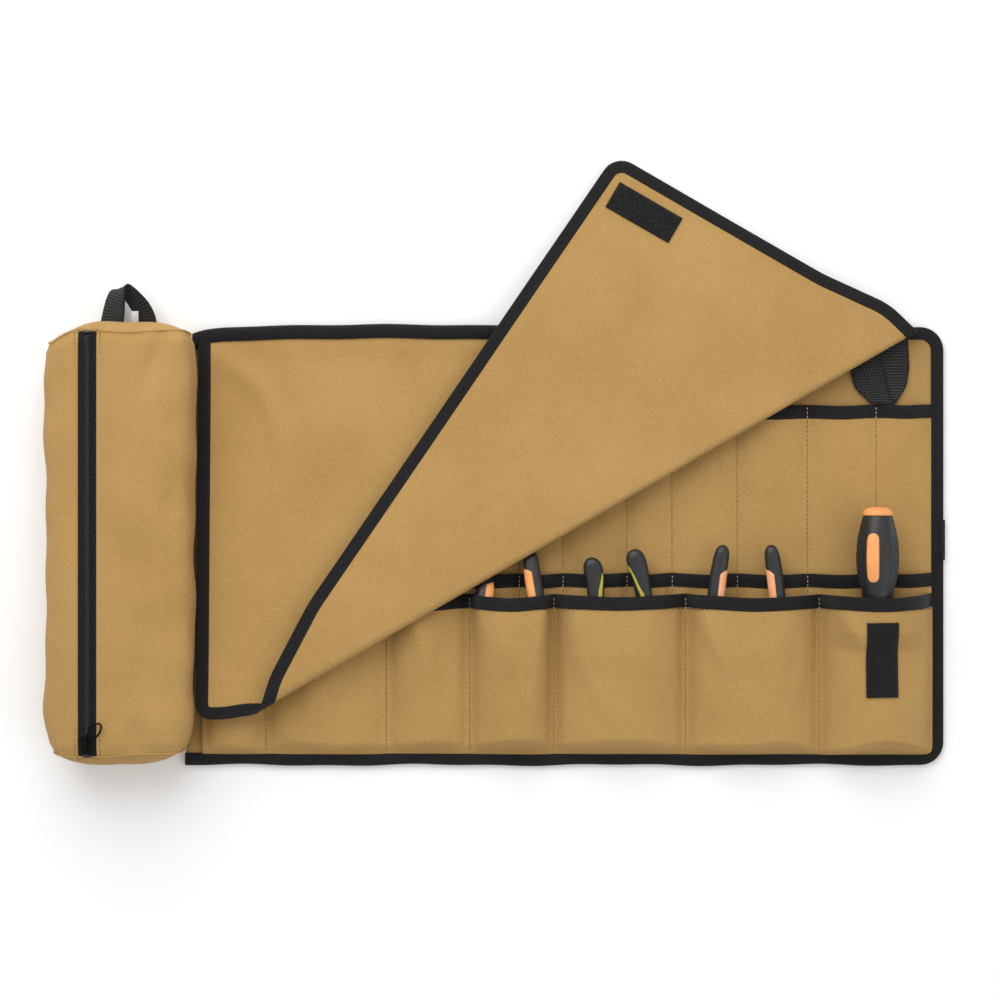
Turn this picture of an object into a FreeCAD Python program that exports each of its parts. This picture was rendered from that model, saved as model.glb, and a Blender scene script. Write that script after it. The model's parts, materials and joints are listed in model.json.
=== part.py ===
"""Electrician's tool roll: a canvas roll with three tiers of tool pockets, a cover flap whose corner is
turned back, a zipped case sewn along the left edge, hanging loops, a closing strap, and four tools.

Units are millimetres. The origin is the centre of the roll's back face. +X runs along the roll, away from
the case, +Y points to the hanging edge, and +Z points up out of the pockets.
Cloth is drawn as flat plates, and a pocket panel as a plate held up by thin webs at its rows of stitches.
"""
import FreeCAD
import Part
import math
import os

from FreeCAD import Vector, Rotation, Placement

# ---- driving dimensions -------------------------------------------------------------------------------
ROLL_WIDTH = 600.0
ROLL_HEIGHT = 350.0
CLOTH = 1.2                  # thickness of the back canvas
POCKET_CLOTH = 0.8           # thickness of pocket canvas
WEB = 0.8                    # thickness of a row of stitched cloth
BINDING_WIDTH = 10.0
BINDING_THICK = 2.2
CORNER_RADIUS = 24.0
MOUTH_TAPE_WIDTH = 11.0      # binding along each pocket mouth
MOUTH_TAPE_THICK = 1.0

HALF_W = ROLL_WIDTH / 2
HALF_H = ROLL_HEIGHT / 2
INNER_RIGHT = HALF_W - BINDING_WIDTH
INNER_TOP = HALF_H - BINDING_WIDTH
POCKET_LEFT = -289.0
POCKET_RIGHT = INNER_RIGHT - 4.5      # the pockets stop short of the binding's rounded corner
POCKET_FOOT = 4.5 - INNER_TOP

UPPER_MOUTH_Y = 113.0
MIDDLE_MOUTH_Y = -25.0
LOWER_MOUTH_Y = -43.0
POCKET_GAP = 5.0             # free depth of the two flat pocket tiers
UPPER_Z = CLOTH + POCKET_GAP
MIDDLE_Z = UPPER_Z + POCKET_CLOTH + POCKET_GAP
MIDDLE_TOP = MIDDLE_Z + POCKET_CLOTH
# rows of stitches between the two ends of the upper and middle tiers
FINE_SEAMS = [-226.0, -164.0, -101.0, -39.0, -4.0, 47.0, 83.0, 135.0, 191.0, 246.0]
# rows of stitches of the lower tier, and the free height of each of its pockets
LOWER_SEAMS = [-241.0, -145.0, -78.5, -11.5, 93.5, 200.0]
EMPTY_Z = MIDDLE_TOP + 5.2
PLIERS_POCKET_Z = 25.6
DRIVER_POCKET_Z = 41.6
LOWER_HEIGHTS = [EMPTY_Z] * 3 + [PLIERS_POCKET_Z] * 3 + [DRIVER_POCKET_Z]

TOUCH_TAPE_WIDTH = 23.0      # hook-and-loop tape
TOUCH_TAPE_LENGTH = 58.0
TOUCH_TAPE_THICK = 1.2
HOOK_CENTRE = (249.0, -92.0)

WEBBING_WIDTH = 25.0
WEBBING_THICK = 1.4

# the flap: its plane climbs from the hanging edge, over the pockets
FLAP_HINGE_Y = HALF_H + 0.5
FLAP_HINGE_Z = 7.5
FLAP_SLOPE = 0.06
FLAP_CLOTH = 1.0
FLAP_LEFT = -291.0
FLAP_RIGHT = 275.0
FLAP_BOTTOM = -138.0
CREASE_START = (275.0, 173.0)     # upper right end of the turned-back corner's crease
CREASE_END = (-258.0, -132.0)     # lower left end
CREASE_R_START = 3.0
CREASE_R_END = 8.0
TURNED_PEAK = (42.0, 304.0)
FOLD_SHELL = 0.8
FOLD_GAP = 1.3
FOLD_TRIM_START = 24.0        # the fold stops short of the binding at each end
FOLD_TRIM_END = 36.0
TAPE_ALONG = 6.0                  # loop tape's distance from the flap's free corner, along the short edge
TAPE_INSET = 13.0                 # and in from that edge

# the zipped case
CASE_LENGTH = 350.0
CASE_WIDTH = 116.0
CASE_HEIGHT = 62.0
CASE_CENTRE_Y = 3.0
CASE_RIGHT = -301.0
CASE_LIFT = 0.5
CASE_WALL = 1.2
CASE_CHAMFER = 13.0
CASE_FOOT_CHAMFER = 5.0
ZIP_X = -374.0
ZIP_SLOT = 20.0
ZIP_TAPE_WIDTH = 8.4
ZIP_COIL_WIDTH = 3.2
ZIP_COIL_HEIGHT = 1.8
ZIP_END = 6.0                 # distance from the zip's ends to the case's ends
SLIDER_Y = -153.0
PULL_RING_R = 4.7
PULL_WIRE_R = 0.5
SLIDER_CLEAR = 1.1
SLIDER_PLATE = 1.4
BAIL_SPAN = 5.2
BAIL_THICK = 1.0
BAIL_RISE = 2.6
LOOP_GAP = 0.4                # the left loop's distance from the case's upper end
LOOP_Z = 5.0
LABEL_X = -348.0
LABEL_WIDTH = 6.0
LABEL_REACH = 8.0
LABEL_Z = 3.0
LABEL_THICK = 0.6

# the closing strap on the back of the roll
STRAP_WIDTH = 30.0
STRAP_LENGTH = 190.0
STRAP_Y = 5.0
STRAP_GAP = 0.1
STRAP_TIP = 5.0
STRAP_TIP_THICK = 1.8
STRAP_HOLLOW = 0.2           # the back cloth gives way this much over the strap
STRAP_MARGIN = 0.5

# the tools
GRIP_Z = MIDDLE_TOP + MOUTH_TAPE_THICK + 0.4
GRIP_THICK = 11.0
JAW_THICK = 8.0
PIVOT_Y = -112.0
JAW_TIP_Y = -150.0
PIVOT_R = 4.0
DRIVER_X = 243.0
DRIVER_Z = 29.5

STRAP_X1 = HALF_W + 1.0
STRAP_X0 = STRAP_X1 - STRAP_LENGTH
CASE_LEFT = CASE_RIGHT - CASE_WIDTH
CASE_Y0 = CASE_CENTRE_Y - CASE_LENGTH / 2
CASE_Y1 = CASE_CENTRE_Y + CASE_LENGTH / 2
CASE_TOP = CASE_LIFT + CASE_HEIGHT


# ---- helpers -------------------------------------------------------------------------------------------
def box(x0, x1, y0, y1, z0, z1):
    return Part.makeBox(x1 - x0, y1 - y0, z1 - z0, Vector(x0, y0, z0))


def prism(outline, z0, z1):
    """An outline in the XY plane, as (x, y) points, raised from z0 to z1."""
    points = [Vector(x, y, z0) for x, y in outline]
    face = Part.Face(Part.makePolygon(points + points[:1]))
    return face.extrude(Vector(0, 0, z1 - z0))


def prism_along_y(outline, y0, y1):
    """An outline in the XZ plane, as (x, z) points, drawn out from y0 to y1."""
    points = [Vector(x, y0, z) for x, z in outline]
    face = Part.Face(Part.makePolygon(points + points[:1]))
    return face.extrude(Vector(0, y1 - y0, 0))


def inset(outline, widths):
    """The outline moved inwards by one width per edge. The points run anticlockwise."""
    count = len(outline)
    lines = []
    for i in range(count):
        (x0, y0), (x1, y1) = outline[i], outline[(i + 1) % count]
        length = math.hypot(x1 - x0, y1 - y0)
        nx, ny = -(y1 - y0) / length, (x1 - x0) / length
        lines.append((nx, ny, nx * x0 + ny * y0 + widths[i]))
    result = []
    for i in range(count):
        a0, b0, c0 = lines[i - 1]
        a1, b1, c1 = lines[i]
        det = a0 * b1 - a1 * b0
        result.append(((c0 * b1 - c1 * b0) / det, (a0 * c1 - a1 * c0) / det))
    return result


def edge_strips(outline, widths, z0, z1):
    """Binding along the edges whose width isn't 0, as one solid for each edge."""
    inner = inset(outline, widths)
    solids = []
    for i, width in enumerate(widths):
        if width:
            j = (i + 1) % len(outline)
            solids.append(prism([outline[i], outline[j], inner[j], inner[i]], z0, z1))
    return solids


def corner_ring(cx, cy, turn, z0, z1):
    """A quarter of the binding's rounded corner about (cx, cy), turned by that angle."""
    outer = Part.makeCylinder(CORNER_RADIUS, z1 - z0, Vector(0, 0, z0), Vector(0, 0, 1), 90)
    inner = Part.makeCylinder(CORNER_RADIUS - BINDING_WIDTH, z1 - z0, Vector(0, 0, z0), Vector(0, 0, 1), 90)
    ring = outer.cut(inner)
    ring.Placement = Placement(Vector(cx, cy, 0), Rotation(Vector(0, 0, 1), turn))
    return ring


def save(name, *solids):
    """Writes one node. A node of several solids holds them side by side."""
    shape = solids[0] if len(solids) == 1 else Part.makeCompound(list(solids))
    shape.exportStep(f"parts/{name}.step")
    print(f"{name}: {len(shape.Solids)} solids, {shape.Volume:.0f} mm3, valid {shape.isValid()}")


# ---- the roll -------------------------------------------------------------------------------------------
def back_panel():
    r = CORNER_RADIUS - BINDING_WIDTH
    panel = box(-HALF_W, INNER_RIGHT, -INNER_TOP, INNER_TOP, 0, CLOTH)
    right_edges = [e for e in panel.Edges
                   if abs(e.BoundBox.XMin - INNER_RIGHT) < 0.01 and e.BoundBox.ZLength > CLOTH / 2
                   and e.BoundBox.YLength < 0.01]
    panel = panel.makeFillet(r, right_edges)
    hollow = box(STRAP_X0 - STRAP_TIP - STRAP_MARGIN, HALF_W, STRAP_Y - STRAP_WIDTH / 2 - STRAP_MARGIN,
                 STRAP_Y + STRAP_WIDTH / 2 + STRAP_MARGIN, 0, STRAP_HOLLOW)
    save("back_panel", panel.cut(hollow))


def edge_binding():
    cx = HALF_W - CORNER_RADIUS
    cy = HALF_H - CORNER_RADIUS
    top = BINDING_THICK
    save("edge_binding",
         box(-HALF_W, cx, INNER_TOP, HALF_H, 0, top),
         corner_ring(cx, cy, 0, 0, top),
         box(INNER_RIGHT, HALF_W, -cy, cy, 0, top),
         corner_ring(cx, -cy, -90, 0, top),
         box(-HALF_W, cx, -HALF_H, -INNER_TOP, 0, top))


def pocket_tier(name, seams, heights, floor_z, mouth_y):
    """A pocket panel: one plate per pocket, webs at the stitches, and a closed foot."""
    edges = [POCKET_LEFT] + seams + [POCKET_RIGHT]
    plates, webs, tapes = [], [], []
    for x0, x1, z in zip(edges, edges[1:], heights):
        plates.append(box(x0, x1, POCKET_FOOT, mouth_y, z, z + POCKET_CLOTH))
        webs.append(box(x0 + WEB / 2, x1 - WEB / 2, POCKET_FOOT, POCKET_FOOT + WEB, floor_z, z))
        top = z + POCKET_CLOTH
        tapes.append(box(x0, x1, mouth_y - MOUTH_TAPE_WIDTH, mouth_y, top, top + MOUTH_TAPE_THICK))
    for i, x in enumerate(edges):
        x_low = POCKET_LEFT if i == 0 else x - WEB / 2
        x_high = POCKET_RIGHT if i == len(edges) - 1 else x + WEB / 2
        beside = heights[max(i - 1, 0):i + 1]
        webs.append(box(x_low, x_high, POCKET_FOOT, mouth_y, floor_z, min(beside)))
        if max(beside) > min(beside):
            step = min(beside) + POCKET_CLOTH
            webs.append(box(x, x_high, POCKET_FOOT, mouth_y, step, max(beside)))
    save(f"{name}_pocket_panel", *(plates + webs))
    save(f"{name}_pocket_binding", *tapes)


def pockets():
    flat = len(FINE_SEAMS) + 1
    pocket_tier("upper", FINE_SEAMS, [UPPER_Z] * flat, CLOTH, UPPER_MOUTH_Y)
    pocket_tier("middle", FINE_SEAMS, [MIDDLE_Z] * flat, UPPER_Z + POCKET_CLOTH, MIDDLE_MOUTH_Y)
    pocket_tier("lower", LOWER_SEAMS, LOWER_HEIGHTS, MIDDLE_TOP, LOWER_MOUTH_Y)


def hook_tape():
    x, y = HOOK_CENTRE
    z = DRIVER_POCKET_Z + POCKET_CLOTH
    save("hook_tape", box(x - TOUCH_TAPE_WIDTH / 2, x + TOUCH_TAPE_WIDTH / 2,
                          y - TOUCH_TAPE_LENGTH / 2, y + TOUCH_TAPE_LENGTH / 2, z, z + TOUCH_TAPE_THICK))


def hang_loops():
    """Webbing loops sewn into a seam by both ends: one flattened on the pockets, one standing out."""
    right = [(235, 171), (228, 146), (231, 126), (247, 114), (260, 115), (272, 139), (271, 171)]
    low = BINDING_THICK + 0.3
    save("right_hang_loop", prism(right, low, low + 2 * WEBBING_THICK))

    foot = CASE_Y1 + LOOP_GAP
    legs = [[(-373, foot), (-360, foot), (-352, 192), (-349.6, 208), (-360, 209.6)],
            [(-352, 192), (-341, 190.5), (-333, 190.4), (-349.6, 208)],
            [(-341, 190.5), (-337, foot), (-325, foot), (-333, 190.4)]]
    save("left_hang_loop", *[prism(leg, LOOP_Z, LOOP_Z + 2 * WEBBING_THICK) for leg in legs])
    save("care_label", box(LABEL_X, LABEL_X + LABEL_WIDTH, CASE_Y1, CASE_Y1 + LABEL_REACH,
                           LABEL_Z, LABEL_Z + LABEL_THICK))


def closing_strap():
    """Webbing sewn to the right edge and lying under the roll, with its touch-tape end."""
    y0 = STRAP_Y - STRAP_WIDTH / 2
    y1 = STRAP_Y + STRAP_WIDTH / 2
    z1 = -STRAP_GAP
    z0 = z1 - WEBBING_THICK
    save("closing_strap", box(STRAP_X0, STRAP_X1, y0, y1, z0, z1))
    save("closing_strap_tip", box(STRAP_X0 - STRAP_TIP, STRAP_X0, y0, y1, z1 - STRAP_TIP_THICK, z1))


# ---- the flap ---------------------------------------------------------------------------------------------
def flap_z(y):
    return FLAP_HINGE_Z + FLAP_SLOPE * (FLAP_HINGE_Y - y)


def lay_on_flap(shape):
    """Turns a shape drawn about z = 0 onto the flap's sloping plane."""
    slope = math.degrees(math.atan(FLAP_SLOPE))
    shape.Placement = Placement(Vector(0, 0, 0), Rotation(Vector(1, 0, 0), -slope),
                                Vector(0, FLAP_HINGE_Y, 0)).multiply(shape.Placement)
    shape.translate(Vector(0, 0, FLAP_HINGE_Z))
    return shape


def crease_line():
    """The crease's axis, from its upper right end to its lower left end."""
    (x0, y0), (x1, y1) = CREASE_START, CREASE_END
    return (Vector(x0, y0, flap_z(y0) + CREASE_R_START), Vector(x1, y1, flap_z(y1) + CREASE_R_END))


def turn_over(shape):
    start, end = crease_line()
    shape.Placement = Placement(Vector(0, 0, 0), Rotation(end.sub(start), 180), start).multiply(shape.Placement)
    return shape


def mirrored_over_crease(point):
    """A point of the turned-back corner, as it lies in plan before it is turned."""
    (x0, y0), (x1, y1) = CREASE_START, CREASE_END
    length = math.hypot(x1 - x0, y1 - y0)
    ux, uy = (x1 - x0) / length, (y1 - y0) / length
    along = (point[0] - x0) * ux + (point[1] - y0) * uy
    across = (point[0] - x0) * -uy + (point[1] - y0) * ux
    return (x0 + along * ux + across * uy, y0 + along * uy - across * ux)


def flap():
    sx, sy = CREASE_START
    ex, ey = CREASE_END
    base = [(FLAP_LEFT, FLAP_BOTTOM), (ex - 2, FLAP_BOTTOM), (ex - 2, ey + 2), (sx - 6, sy), (FLAP_LEFT, sy)]
    widths = [BINDING_WIDTH, 0, 0, 0, BINDING_WIDTH]
    save("flap_panel", lay_on_flap(prism(inset(base, widths), 0, FLAP_CLOTH)))
    strips = [lay_on_flap(s) for s in edge_strips(base, widths, 0, 2 * FLAP_CLOTH)]
    save("flap_binding", *strips)

    peak = mirrored_over_crease(TURNED_PEAK)
    corner = [(ex, ey), peak, (sx, sy)]
    widths = [BINDING_WIDTH, BINDING_WIDTH, 0]
    panel = turn_over(lay_on_flap(prism(inset(corner, widths), 0, FLAP_CLOTH)))
    save("flap_turned_corner", panel)
    strips = [turn_over(lay_on_flap(s)) for s in edge_strips(corner, widths, 0, 2 * FLAP_CLOTH)]
    save("flap_corner_binding", *strips)

    # the loop tape lies along the flap's short edge, on the face that the turned corner shows
    dx, dy = sx - peak[0], sy - peak[1]
    tape = box(TAPE_ALONG, TAPE_ALONG + TOUCH_TAPE_LENGTH, TAPE_INSET, TAPE_INSET + TOUCH_TAPE_WIDTH,
               -TOUCH_TAPE_THICK, 0)
    tape.Placement = Placement(Vector(peak[0], peak[1], 0),
                               Rotation(Vector(0, 0, 1), math.degrees(math.atan2(dy, dx))))
    save("loop_tape", turn_over(lay_on_flap(tape)))


def flap_fold():
    """The half-round fold between the flap and its turned-back corner, on the corner's body."""
    start, end = crease_line()
    axis = end.sub(start)
    growth = (CREASE_R_END - CREASE_R_START) / axis.Length
    length = axis.Length - FOLD_TRIM_START - FOLD_TRIM_END
    r0 = CREASE_R_START - FOLD_GAP + growth * FOLD_TRIM_START
    r1 = r0 + growth * length
    foot = start + axis * (FOLD_TRIM_START / axis.Length)
    origin, up = Vector(0, 0, 0), Vector(0, 0, 1)
    outer = Part.makeCone(r0, r1, length, origin, up, 180)
    inner = Part.makeCone(r0 - FOLD_SHELL, r1 - FOLD_SHELL, length, origin, up, 180)
    shell = outer.cut(inner)
    # the cone's open side faces up the flap: its X axis goes up, and its Z axis goes along the crease
    side = Vector(0, 0, 1).cross(axis).normalize()
    lift = axis.cross(side).normalize()
    shell.Placement = Placement(foot, Rotation(lift, side, axis, "ZXY"))
    save("flap_fold", shell)


# ---- the zipped case ----------------------------------------------------------------------------------------
def case():
    x0, x1, z0, z1 = CASE_LEFT, CASE_RIGHT, CASE_LIFT, CASE_TOP
    c, f = CASE_CHAMFER, CASE_FOOT_CHAMFER
    y0, y1 = CASE_Y0 + CASE_WALL, CASE_Y1 - CASE_WALL
    slot0, slot1 = ZIP_X - ZIP_SLOT / 2, ZIP_X + ZIP_SLOT / 2
    outline = [(x0 + f, z0), (x1 - f, z0), (x1, z0 + f), (x1, z1 - c), (x1 - c, z1),
               (x0 + c, z1), (x0, z1 - c), (x0, z0 + f)]
    inner = inset(outline, [CASE_WALL] * len(outline))

    def wall(i, outer_a=None, outer_b=None):
        j = (i + 1) % len(outline)
        quad = [outline[i], outline[j], inner[j], inner[i]]
        if outer_a is not None:
            quad[0], quad[3] = (outer_a, z1), (outer_a, z1 - CASE_WALL)
        if outer_b is not None:
            quad[1], quad[2] = (outer_b, z1), (outer_b, z1 - CASE_WALL)
        return prism_along_y(quad, y0, y1)

    save("case_back", wall(7), wall(0), wall(1))
    save("case_right_gusset", wall(2), wall(3))
    save("case_front_panel", wall(4, outer_b=slot1))
    save("case_zip_facing", wall(4, outer_a=slot0))
    save("case_left_gusset", wall(5), wall(6))
    save("case_upper_end", prism_along_y(outline, y1, CASE_Y1))
    save("case_lower_end", prism_along_y(outline, CASE_Y0, y0))


def zip_parts():
    y0, y1 = CASE_Y0 + ZIP_END, CASE_Y1 - ZIP_END
    low, high = CASE_TOP - CASE_WALL, CASE_TOP
    ends = (CASE_Y0 + CASE_WALL, CASE_Y1 - CASE_WALL)
    slot0, slot1 = ZIP_X - ZIP_SLOT / 2, ZIP_X + ZIP_SLOT / 2
    half_coil = ZIP_COIL_WIDTH / 2
    save("zip_tape_left", box(slot0, ZIP_X - half_coil, ends[0], ends[1], low, high))
    save("zip_tape_right", box(ZIP_X + half_coil, slot1, ends[0], ends[1], low, high))
    save("zip_coil", box(ZIP_X - half_coil, ZIP_X + half_coil, y0, y1, low, low + ZIP_COIL_HEIGHT))
    save("zip_end_stops",
         box(ZIP_X - half_coil, ZIP_X + half_coil, ends[0], y0, low, low + ZIP_COIL_HEIGHT),
         box(ZIP_X - half_coil, ZIP_X + half_coil, y1, ends[1], low, low + ZIP_COIL_HEIGHT))


def zip_slider():
    """The slider's plate clears the coil, and its bail is an arch for the pull's wire."""
    z = CASE_TOP + SLIDER_CLEAR
    plate_top = z + SLIDER_PLATE
    outline = [(-3.2, -6.0), (3.2, -6.0), (4.4, 4.5), (2.6, 6.5), (-2.6, 6.5), (-4.4, 4.5)]
    plate = prism(outline, z, plate_top)
    half = BAIL_SPAN / 2
    w = BAIL_THICK / 2
    feet = [box(-w, w, y - w, y + w, plate_top, plate_top + BAIL_RISE) for y in (-half, half)]
    bar = box(-w, w, -half - w, half + w, plate_top + BAIL_RISE, plate_top + BAIL_RISE + BAIL_THICK)
    slider = plate.fuse([feet[0], feet[1], bar]).removeSplitter()
    slider.translate(Vector(ZIP_X, SLIDER_Y, 0))
    save("zip_slider", slider)

    offset = PULL_RING_R * math.sqrt(0.5)
    ring = Part.makeTorus(PULL_RING_R, PULL_WIRE_R,
                          Vector(ZIP_X + offset, SLIDER_Y + offset, plate_top + BAIL_RISE / 2))
    save("zip_pull", ring)


# ---- the tools ------------------------------------------------------------------------------------------------
def pliers(name, pivot_x, grips):
    """Closed pliers, jaws down. Each grip is (tip x, tip y, x at the pocket's mouth, half width)."""
    z0, z1 = GRIP_Z, GRIP_Z + GRIP_THICK
    grip_foot = PIVOT_Y + 26.0
    sleeves = []
    for tip_x, tip_y, mouth_x, half in grips:
        side = 1 if mouth_x > pivot_x else -1
        foot_x = pivot_x + side * 8.5
        sleeves.append(prism([(tip_x - half * 0.6, tip_y), (tip_x - half, tip_y - 6), (mouth_x - half, LOWER_MOUTH_Y),
                              (foot_x - 4.5, grip_foot), (foot_x + 4.5, grip_foot),
                              (mouth_x + half, LOWER_MOUTH_Y), (tip_x + half, tip_y - 6),
                              (tip_x + half * 0.6, tip_y)], z0, z1))
    save(f"{name}_grips", *sleeves)
    middle = (z0 + z1) / 2
    low, high = middle - JAW_THICK / 2, middle + JAW_THICK / 2
    outline = [(-12.5, grip_foot), (-13, PIVOT_Y + 8), (-8, PIVOT_Y - 14), (-3.5, JAW_TIP_Y),
               (3.5, JAW_TIP_Y), (8, PIVOT_Y - 14), (13, PIVOT_Y + 8), (12.5, grip_foot)]
    head = prism([(pivot_x + x, y) for x, y in outline], low, high)
    pin = Part.makeCylinder(PIVOT_R, JAW_THICK + 1.0, Vector(pivot_x, PIVOT_Y, low - 0.5))
    save(f"{name}_head", head.cut(pin))
    save(f"{name}_pivot", pin)


def screwdriver():
    """A turned handle with a cap, a soft inlay on top and a round blade."""
    def turned(profile):
        points = [Vector(r, y, 0) for r, y in profile]
        face = Part.Face(Part.makePolygon(points + points[:1]))
        shape = face.revolve(Vector(0, 0, 0), Vector(0, 1, 0), 360)
        shape.translate(Vector(DRIVER_X, 0, DRIVER_Z))
        return shape

    cap = turned([(0, 31), (0, 24), (12, 24), (11.4, 28), (8.5, 30.4)])
    handle = turned([(0, 24), (0, -68), (9, -68), (10.4, -56), (11.4, -43), (14.9, -25), (16.5, -9),
                     (15.9, 4), (14.2, 13), (12, 24)])
    slot = box(DRIVER_X - 8, DRIVER_X + 1, -28, 11, DRIVER_Z + 12.0, DRIVER_Z + 18.0)
    save("screwdriver_handle", handle.cut(slot))
    save("screwdriver_inlay", handle.common(slot))
    save("screwdriver_cap", cap)
    save("screwdriver_blade", turned([(0, -68), (0, -146), (1.2, -146), (3.2, -139), (3.2, -68)]))


def tools():
    pliers("pliers_a", -42.0, [(-65.5, -34.0, -66.5, 7.0), (-29.0, -22.0, -25.0, 6.5)])
    pliers("pliers_b", 40.0, [(18.0, -11.0, 21.0, 6.5), (50.0, -2.0, 59.0, 6.5)])
    pliers("pliers_c", 141.0, [(121.0, 0.0, 115.0, 6.5), (160.0, 0.0, 166.0, 6.5)])
    screwdriver()


def main():
    os.makedirs("parts", exist_ok=True)
    back_panel()
    edge_binding()
    pockets()
    hook_tape()
    hang_loops()
    closing_strap()
    flap()
    flap_fold()
    case()
    zip_parts()
    zip_slider()
    tools()


main()
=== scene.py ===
"""The looks of an electrician's tool roll, laid open on a pale floor and seen from straight above."""

import json
import math
import random

import bpy
import numpy as np
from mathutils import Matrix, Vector
from mathutils.kdtree import KDTree


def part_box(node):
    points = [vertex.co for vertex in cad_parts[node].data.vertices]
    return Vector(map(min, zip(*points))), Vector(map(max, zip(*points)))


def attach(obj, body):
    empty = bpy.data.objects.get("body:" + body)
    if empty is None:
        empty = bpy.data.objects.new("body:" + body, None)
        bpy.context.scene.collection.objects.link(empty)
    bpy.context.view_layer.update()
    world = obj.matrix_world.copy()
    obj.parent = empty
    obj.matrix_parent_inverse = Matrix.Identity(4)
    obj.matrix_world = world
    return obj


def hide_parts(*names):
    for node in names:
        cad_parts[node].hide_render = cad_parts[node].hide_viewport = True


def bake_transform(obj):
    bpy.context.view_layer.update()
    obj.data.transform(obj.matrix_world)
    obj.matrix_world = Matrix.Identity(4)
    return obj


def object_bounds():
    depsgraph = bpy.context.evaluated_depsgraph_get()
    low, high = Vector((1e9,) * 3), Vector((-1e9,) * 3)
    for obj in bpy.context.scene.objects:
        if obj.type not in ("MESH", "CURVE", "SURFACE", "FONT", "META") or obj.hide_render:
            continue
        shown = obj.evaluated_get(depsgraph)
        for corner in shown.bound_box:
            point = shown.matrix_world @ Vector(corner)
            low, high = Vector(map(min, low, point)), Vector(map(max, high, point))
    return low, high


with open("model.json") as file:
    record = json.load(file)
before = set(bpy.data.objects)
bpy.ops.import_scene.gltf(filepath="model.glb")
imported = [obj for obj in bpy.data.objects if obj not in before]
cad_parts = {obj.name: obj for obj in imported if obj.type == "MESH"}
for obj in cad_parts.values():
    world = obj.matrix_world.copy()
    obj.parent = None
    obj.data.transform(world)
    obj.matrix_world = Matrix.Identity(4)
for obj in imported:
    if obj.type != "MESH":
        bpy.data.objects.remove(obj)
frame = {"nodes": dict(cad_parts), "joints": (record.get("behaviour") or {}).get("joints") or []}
CAD_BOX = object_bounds()
MM = 0.001


# ---- places, all in millimetres, read from the frame ----
def node(name):
    """A node's box in millimetres: low corner, high corner."""
    low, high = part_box(name)
    return np.array(low) / MM, np.array(high) / MM


def joint(name):
    return next(j for j in frame["joints"] if j["name"] == name)


# ---- arrays of points ----
def xyz(x, y, z):
    return np.stack(np.broadcast_arrays(x, y, z), axis=-1).astype(float)


def unit(vectors):
    return vectors / np.linalg.norm(vectors, axis=-1, keepdims=True)


def turned_left(vectors):
    """Vectors in plan, turned a quarter to the left."""
    return np.stack([-vectors[:, 1], vectors[:, 0]], axis=1)


def spaced(low, high, step=2.0):
    return np.linspace(low, high, int(round((high - low) / step)) + 1)


def circle(count):
    """Angles evenly round a circle."""
    return np.linspace(0, 2 * math.pi, count, endpoint=False)


def distance_along(points):
    return np.concatenate([[0], np.cumsum(np.linalg.norm(np.diff(points, axis=0), axis=1))])


def at_distance(s, at, values):
    """Each column of values, known at the distances at, read off at s."""
    return np.stack([np.interp(s, at, column) for column in values.T], axis=1)


def rings_about(centres, across, up, count):
    """Rings of points: one round each centre, through the ends of its half axes across and up."""
    angle = circle(count)[None, :, None]
    centres, across, up = np.broadcast_arrays(centres, across, up)
    return centres[:, None] + across[:, None] * np.cos(angle) + up[:, None] * np.sin(angle)


def smooth_rows(rows, count, passes=3):
    """Rows of numbers resampled evenly and smoothed, with the ends kept."""
    rows = np.array(rows, float)
    at = distance_along(rows[:, :2])
    made = at_distance(np.linspace(0, at[-1], count), at, rows)
    for _ in range(passes):
        made[1:-1] = (made[:-2] + 2 * made[1:-1] + made[2:]) / 4
    return made


def ease(t):
    t = np.clip(t, 0.0, 1.0)
    return t * t * (3 - 2 * t)


def bell(t):
    return np.exp(-t ** 2)


def lumps(x, y, seed, size, terms=5):
    """A smooth random field between about -1 and 1: crossing waves of about that size."""
    rng = random.Random(seed)
    total = np.zeros(np.broadcast(x, y).shape)
    for _ in range(terms):
        angle, phase = rng.uniform(0, math.pi), rng.uniform(0, 2 * math.pi)
        wave = size * rng.uniform(0.7, 1.6)
        total = total + np.sin((x * math.cos(angle) + y * math.sin(angle)) * 2 * math.pi / wave + phase)
    return total / terms ** 0.5 / 1.4


# ---- meshes ----
def mesh_object(name, points, faces, material):
    """A smooth-shaded mesh from points in millimetres."""
    mesh = bpy.data.meshes.new(name)
    mesh.from_pydata((np.asarray(points, float) * MM).tolist(), [], [tuple(map(int, f)) for f in faces])
    mesh.validate()
    mesh.update()
    obj = bpy.data.objects.new(name, mesh)
    bpy.context.scene.collection.objects.link(obj)
    mesh.materials.append(material)
    mesh.polygons.foreach_set("use_smooth", [True] * len(mesh.polygons))
    return obj


def grid_faces(rows, columns, start=0, close_rows=False, close_columns=False, flip=False):
    faces = []
    for i in range(rows - (0 if close_rows else 1)):
        for j in range(columns - (0 if close_columns else 1)):
            a = start + i * columns + j
            b = start + i * columns + (j + 1) % columns
            c = start + (i + 1) % rows * columns + (j + 1) % columns
            d = start + (i + 1) % rows * columns + j
            faces.append((a, d, c, b) if flip else (a, b, c, d))
    return faces


def thick_sheet(name, upper, lower, material):
    """A closed sheet between two grids of points with the same shape (rows, columns, 3)."""
    rows, columns, _ = upper.shape
    count = rows * columns
    points = np.concatenate([upper.reshape(-1, 3), lower.reshape(-1, 3)])
    faces = grid_faces(rows, columns) + grid_faces(rows, columns, start=count, flip=True)
    numbers = np.arange(count).reshape(rows, columns)
    rim = np.concatenate([numbers[0], numbers[1:, -1], numbers[-1, -2::-1], numbers[-2:0:-1, 0]]).tolist()
    faces += [(b, a, a + count, b + count) for a, b in zip(rim, rim[1:] + rim[:1])]
    return mesh_object(name, points, faces, material)


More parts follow.
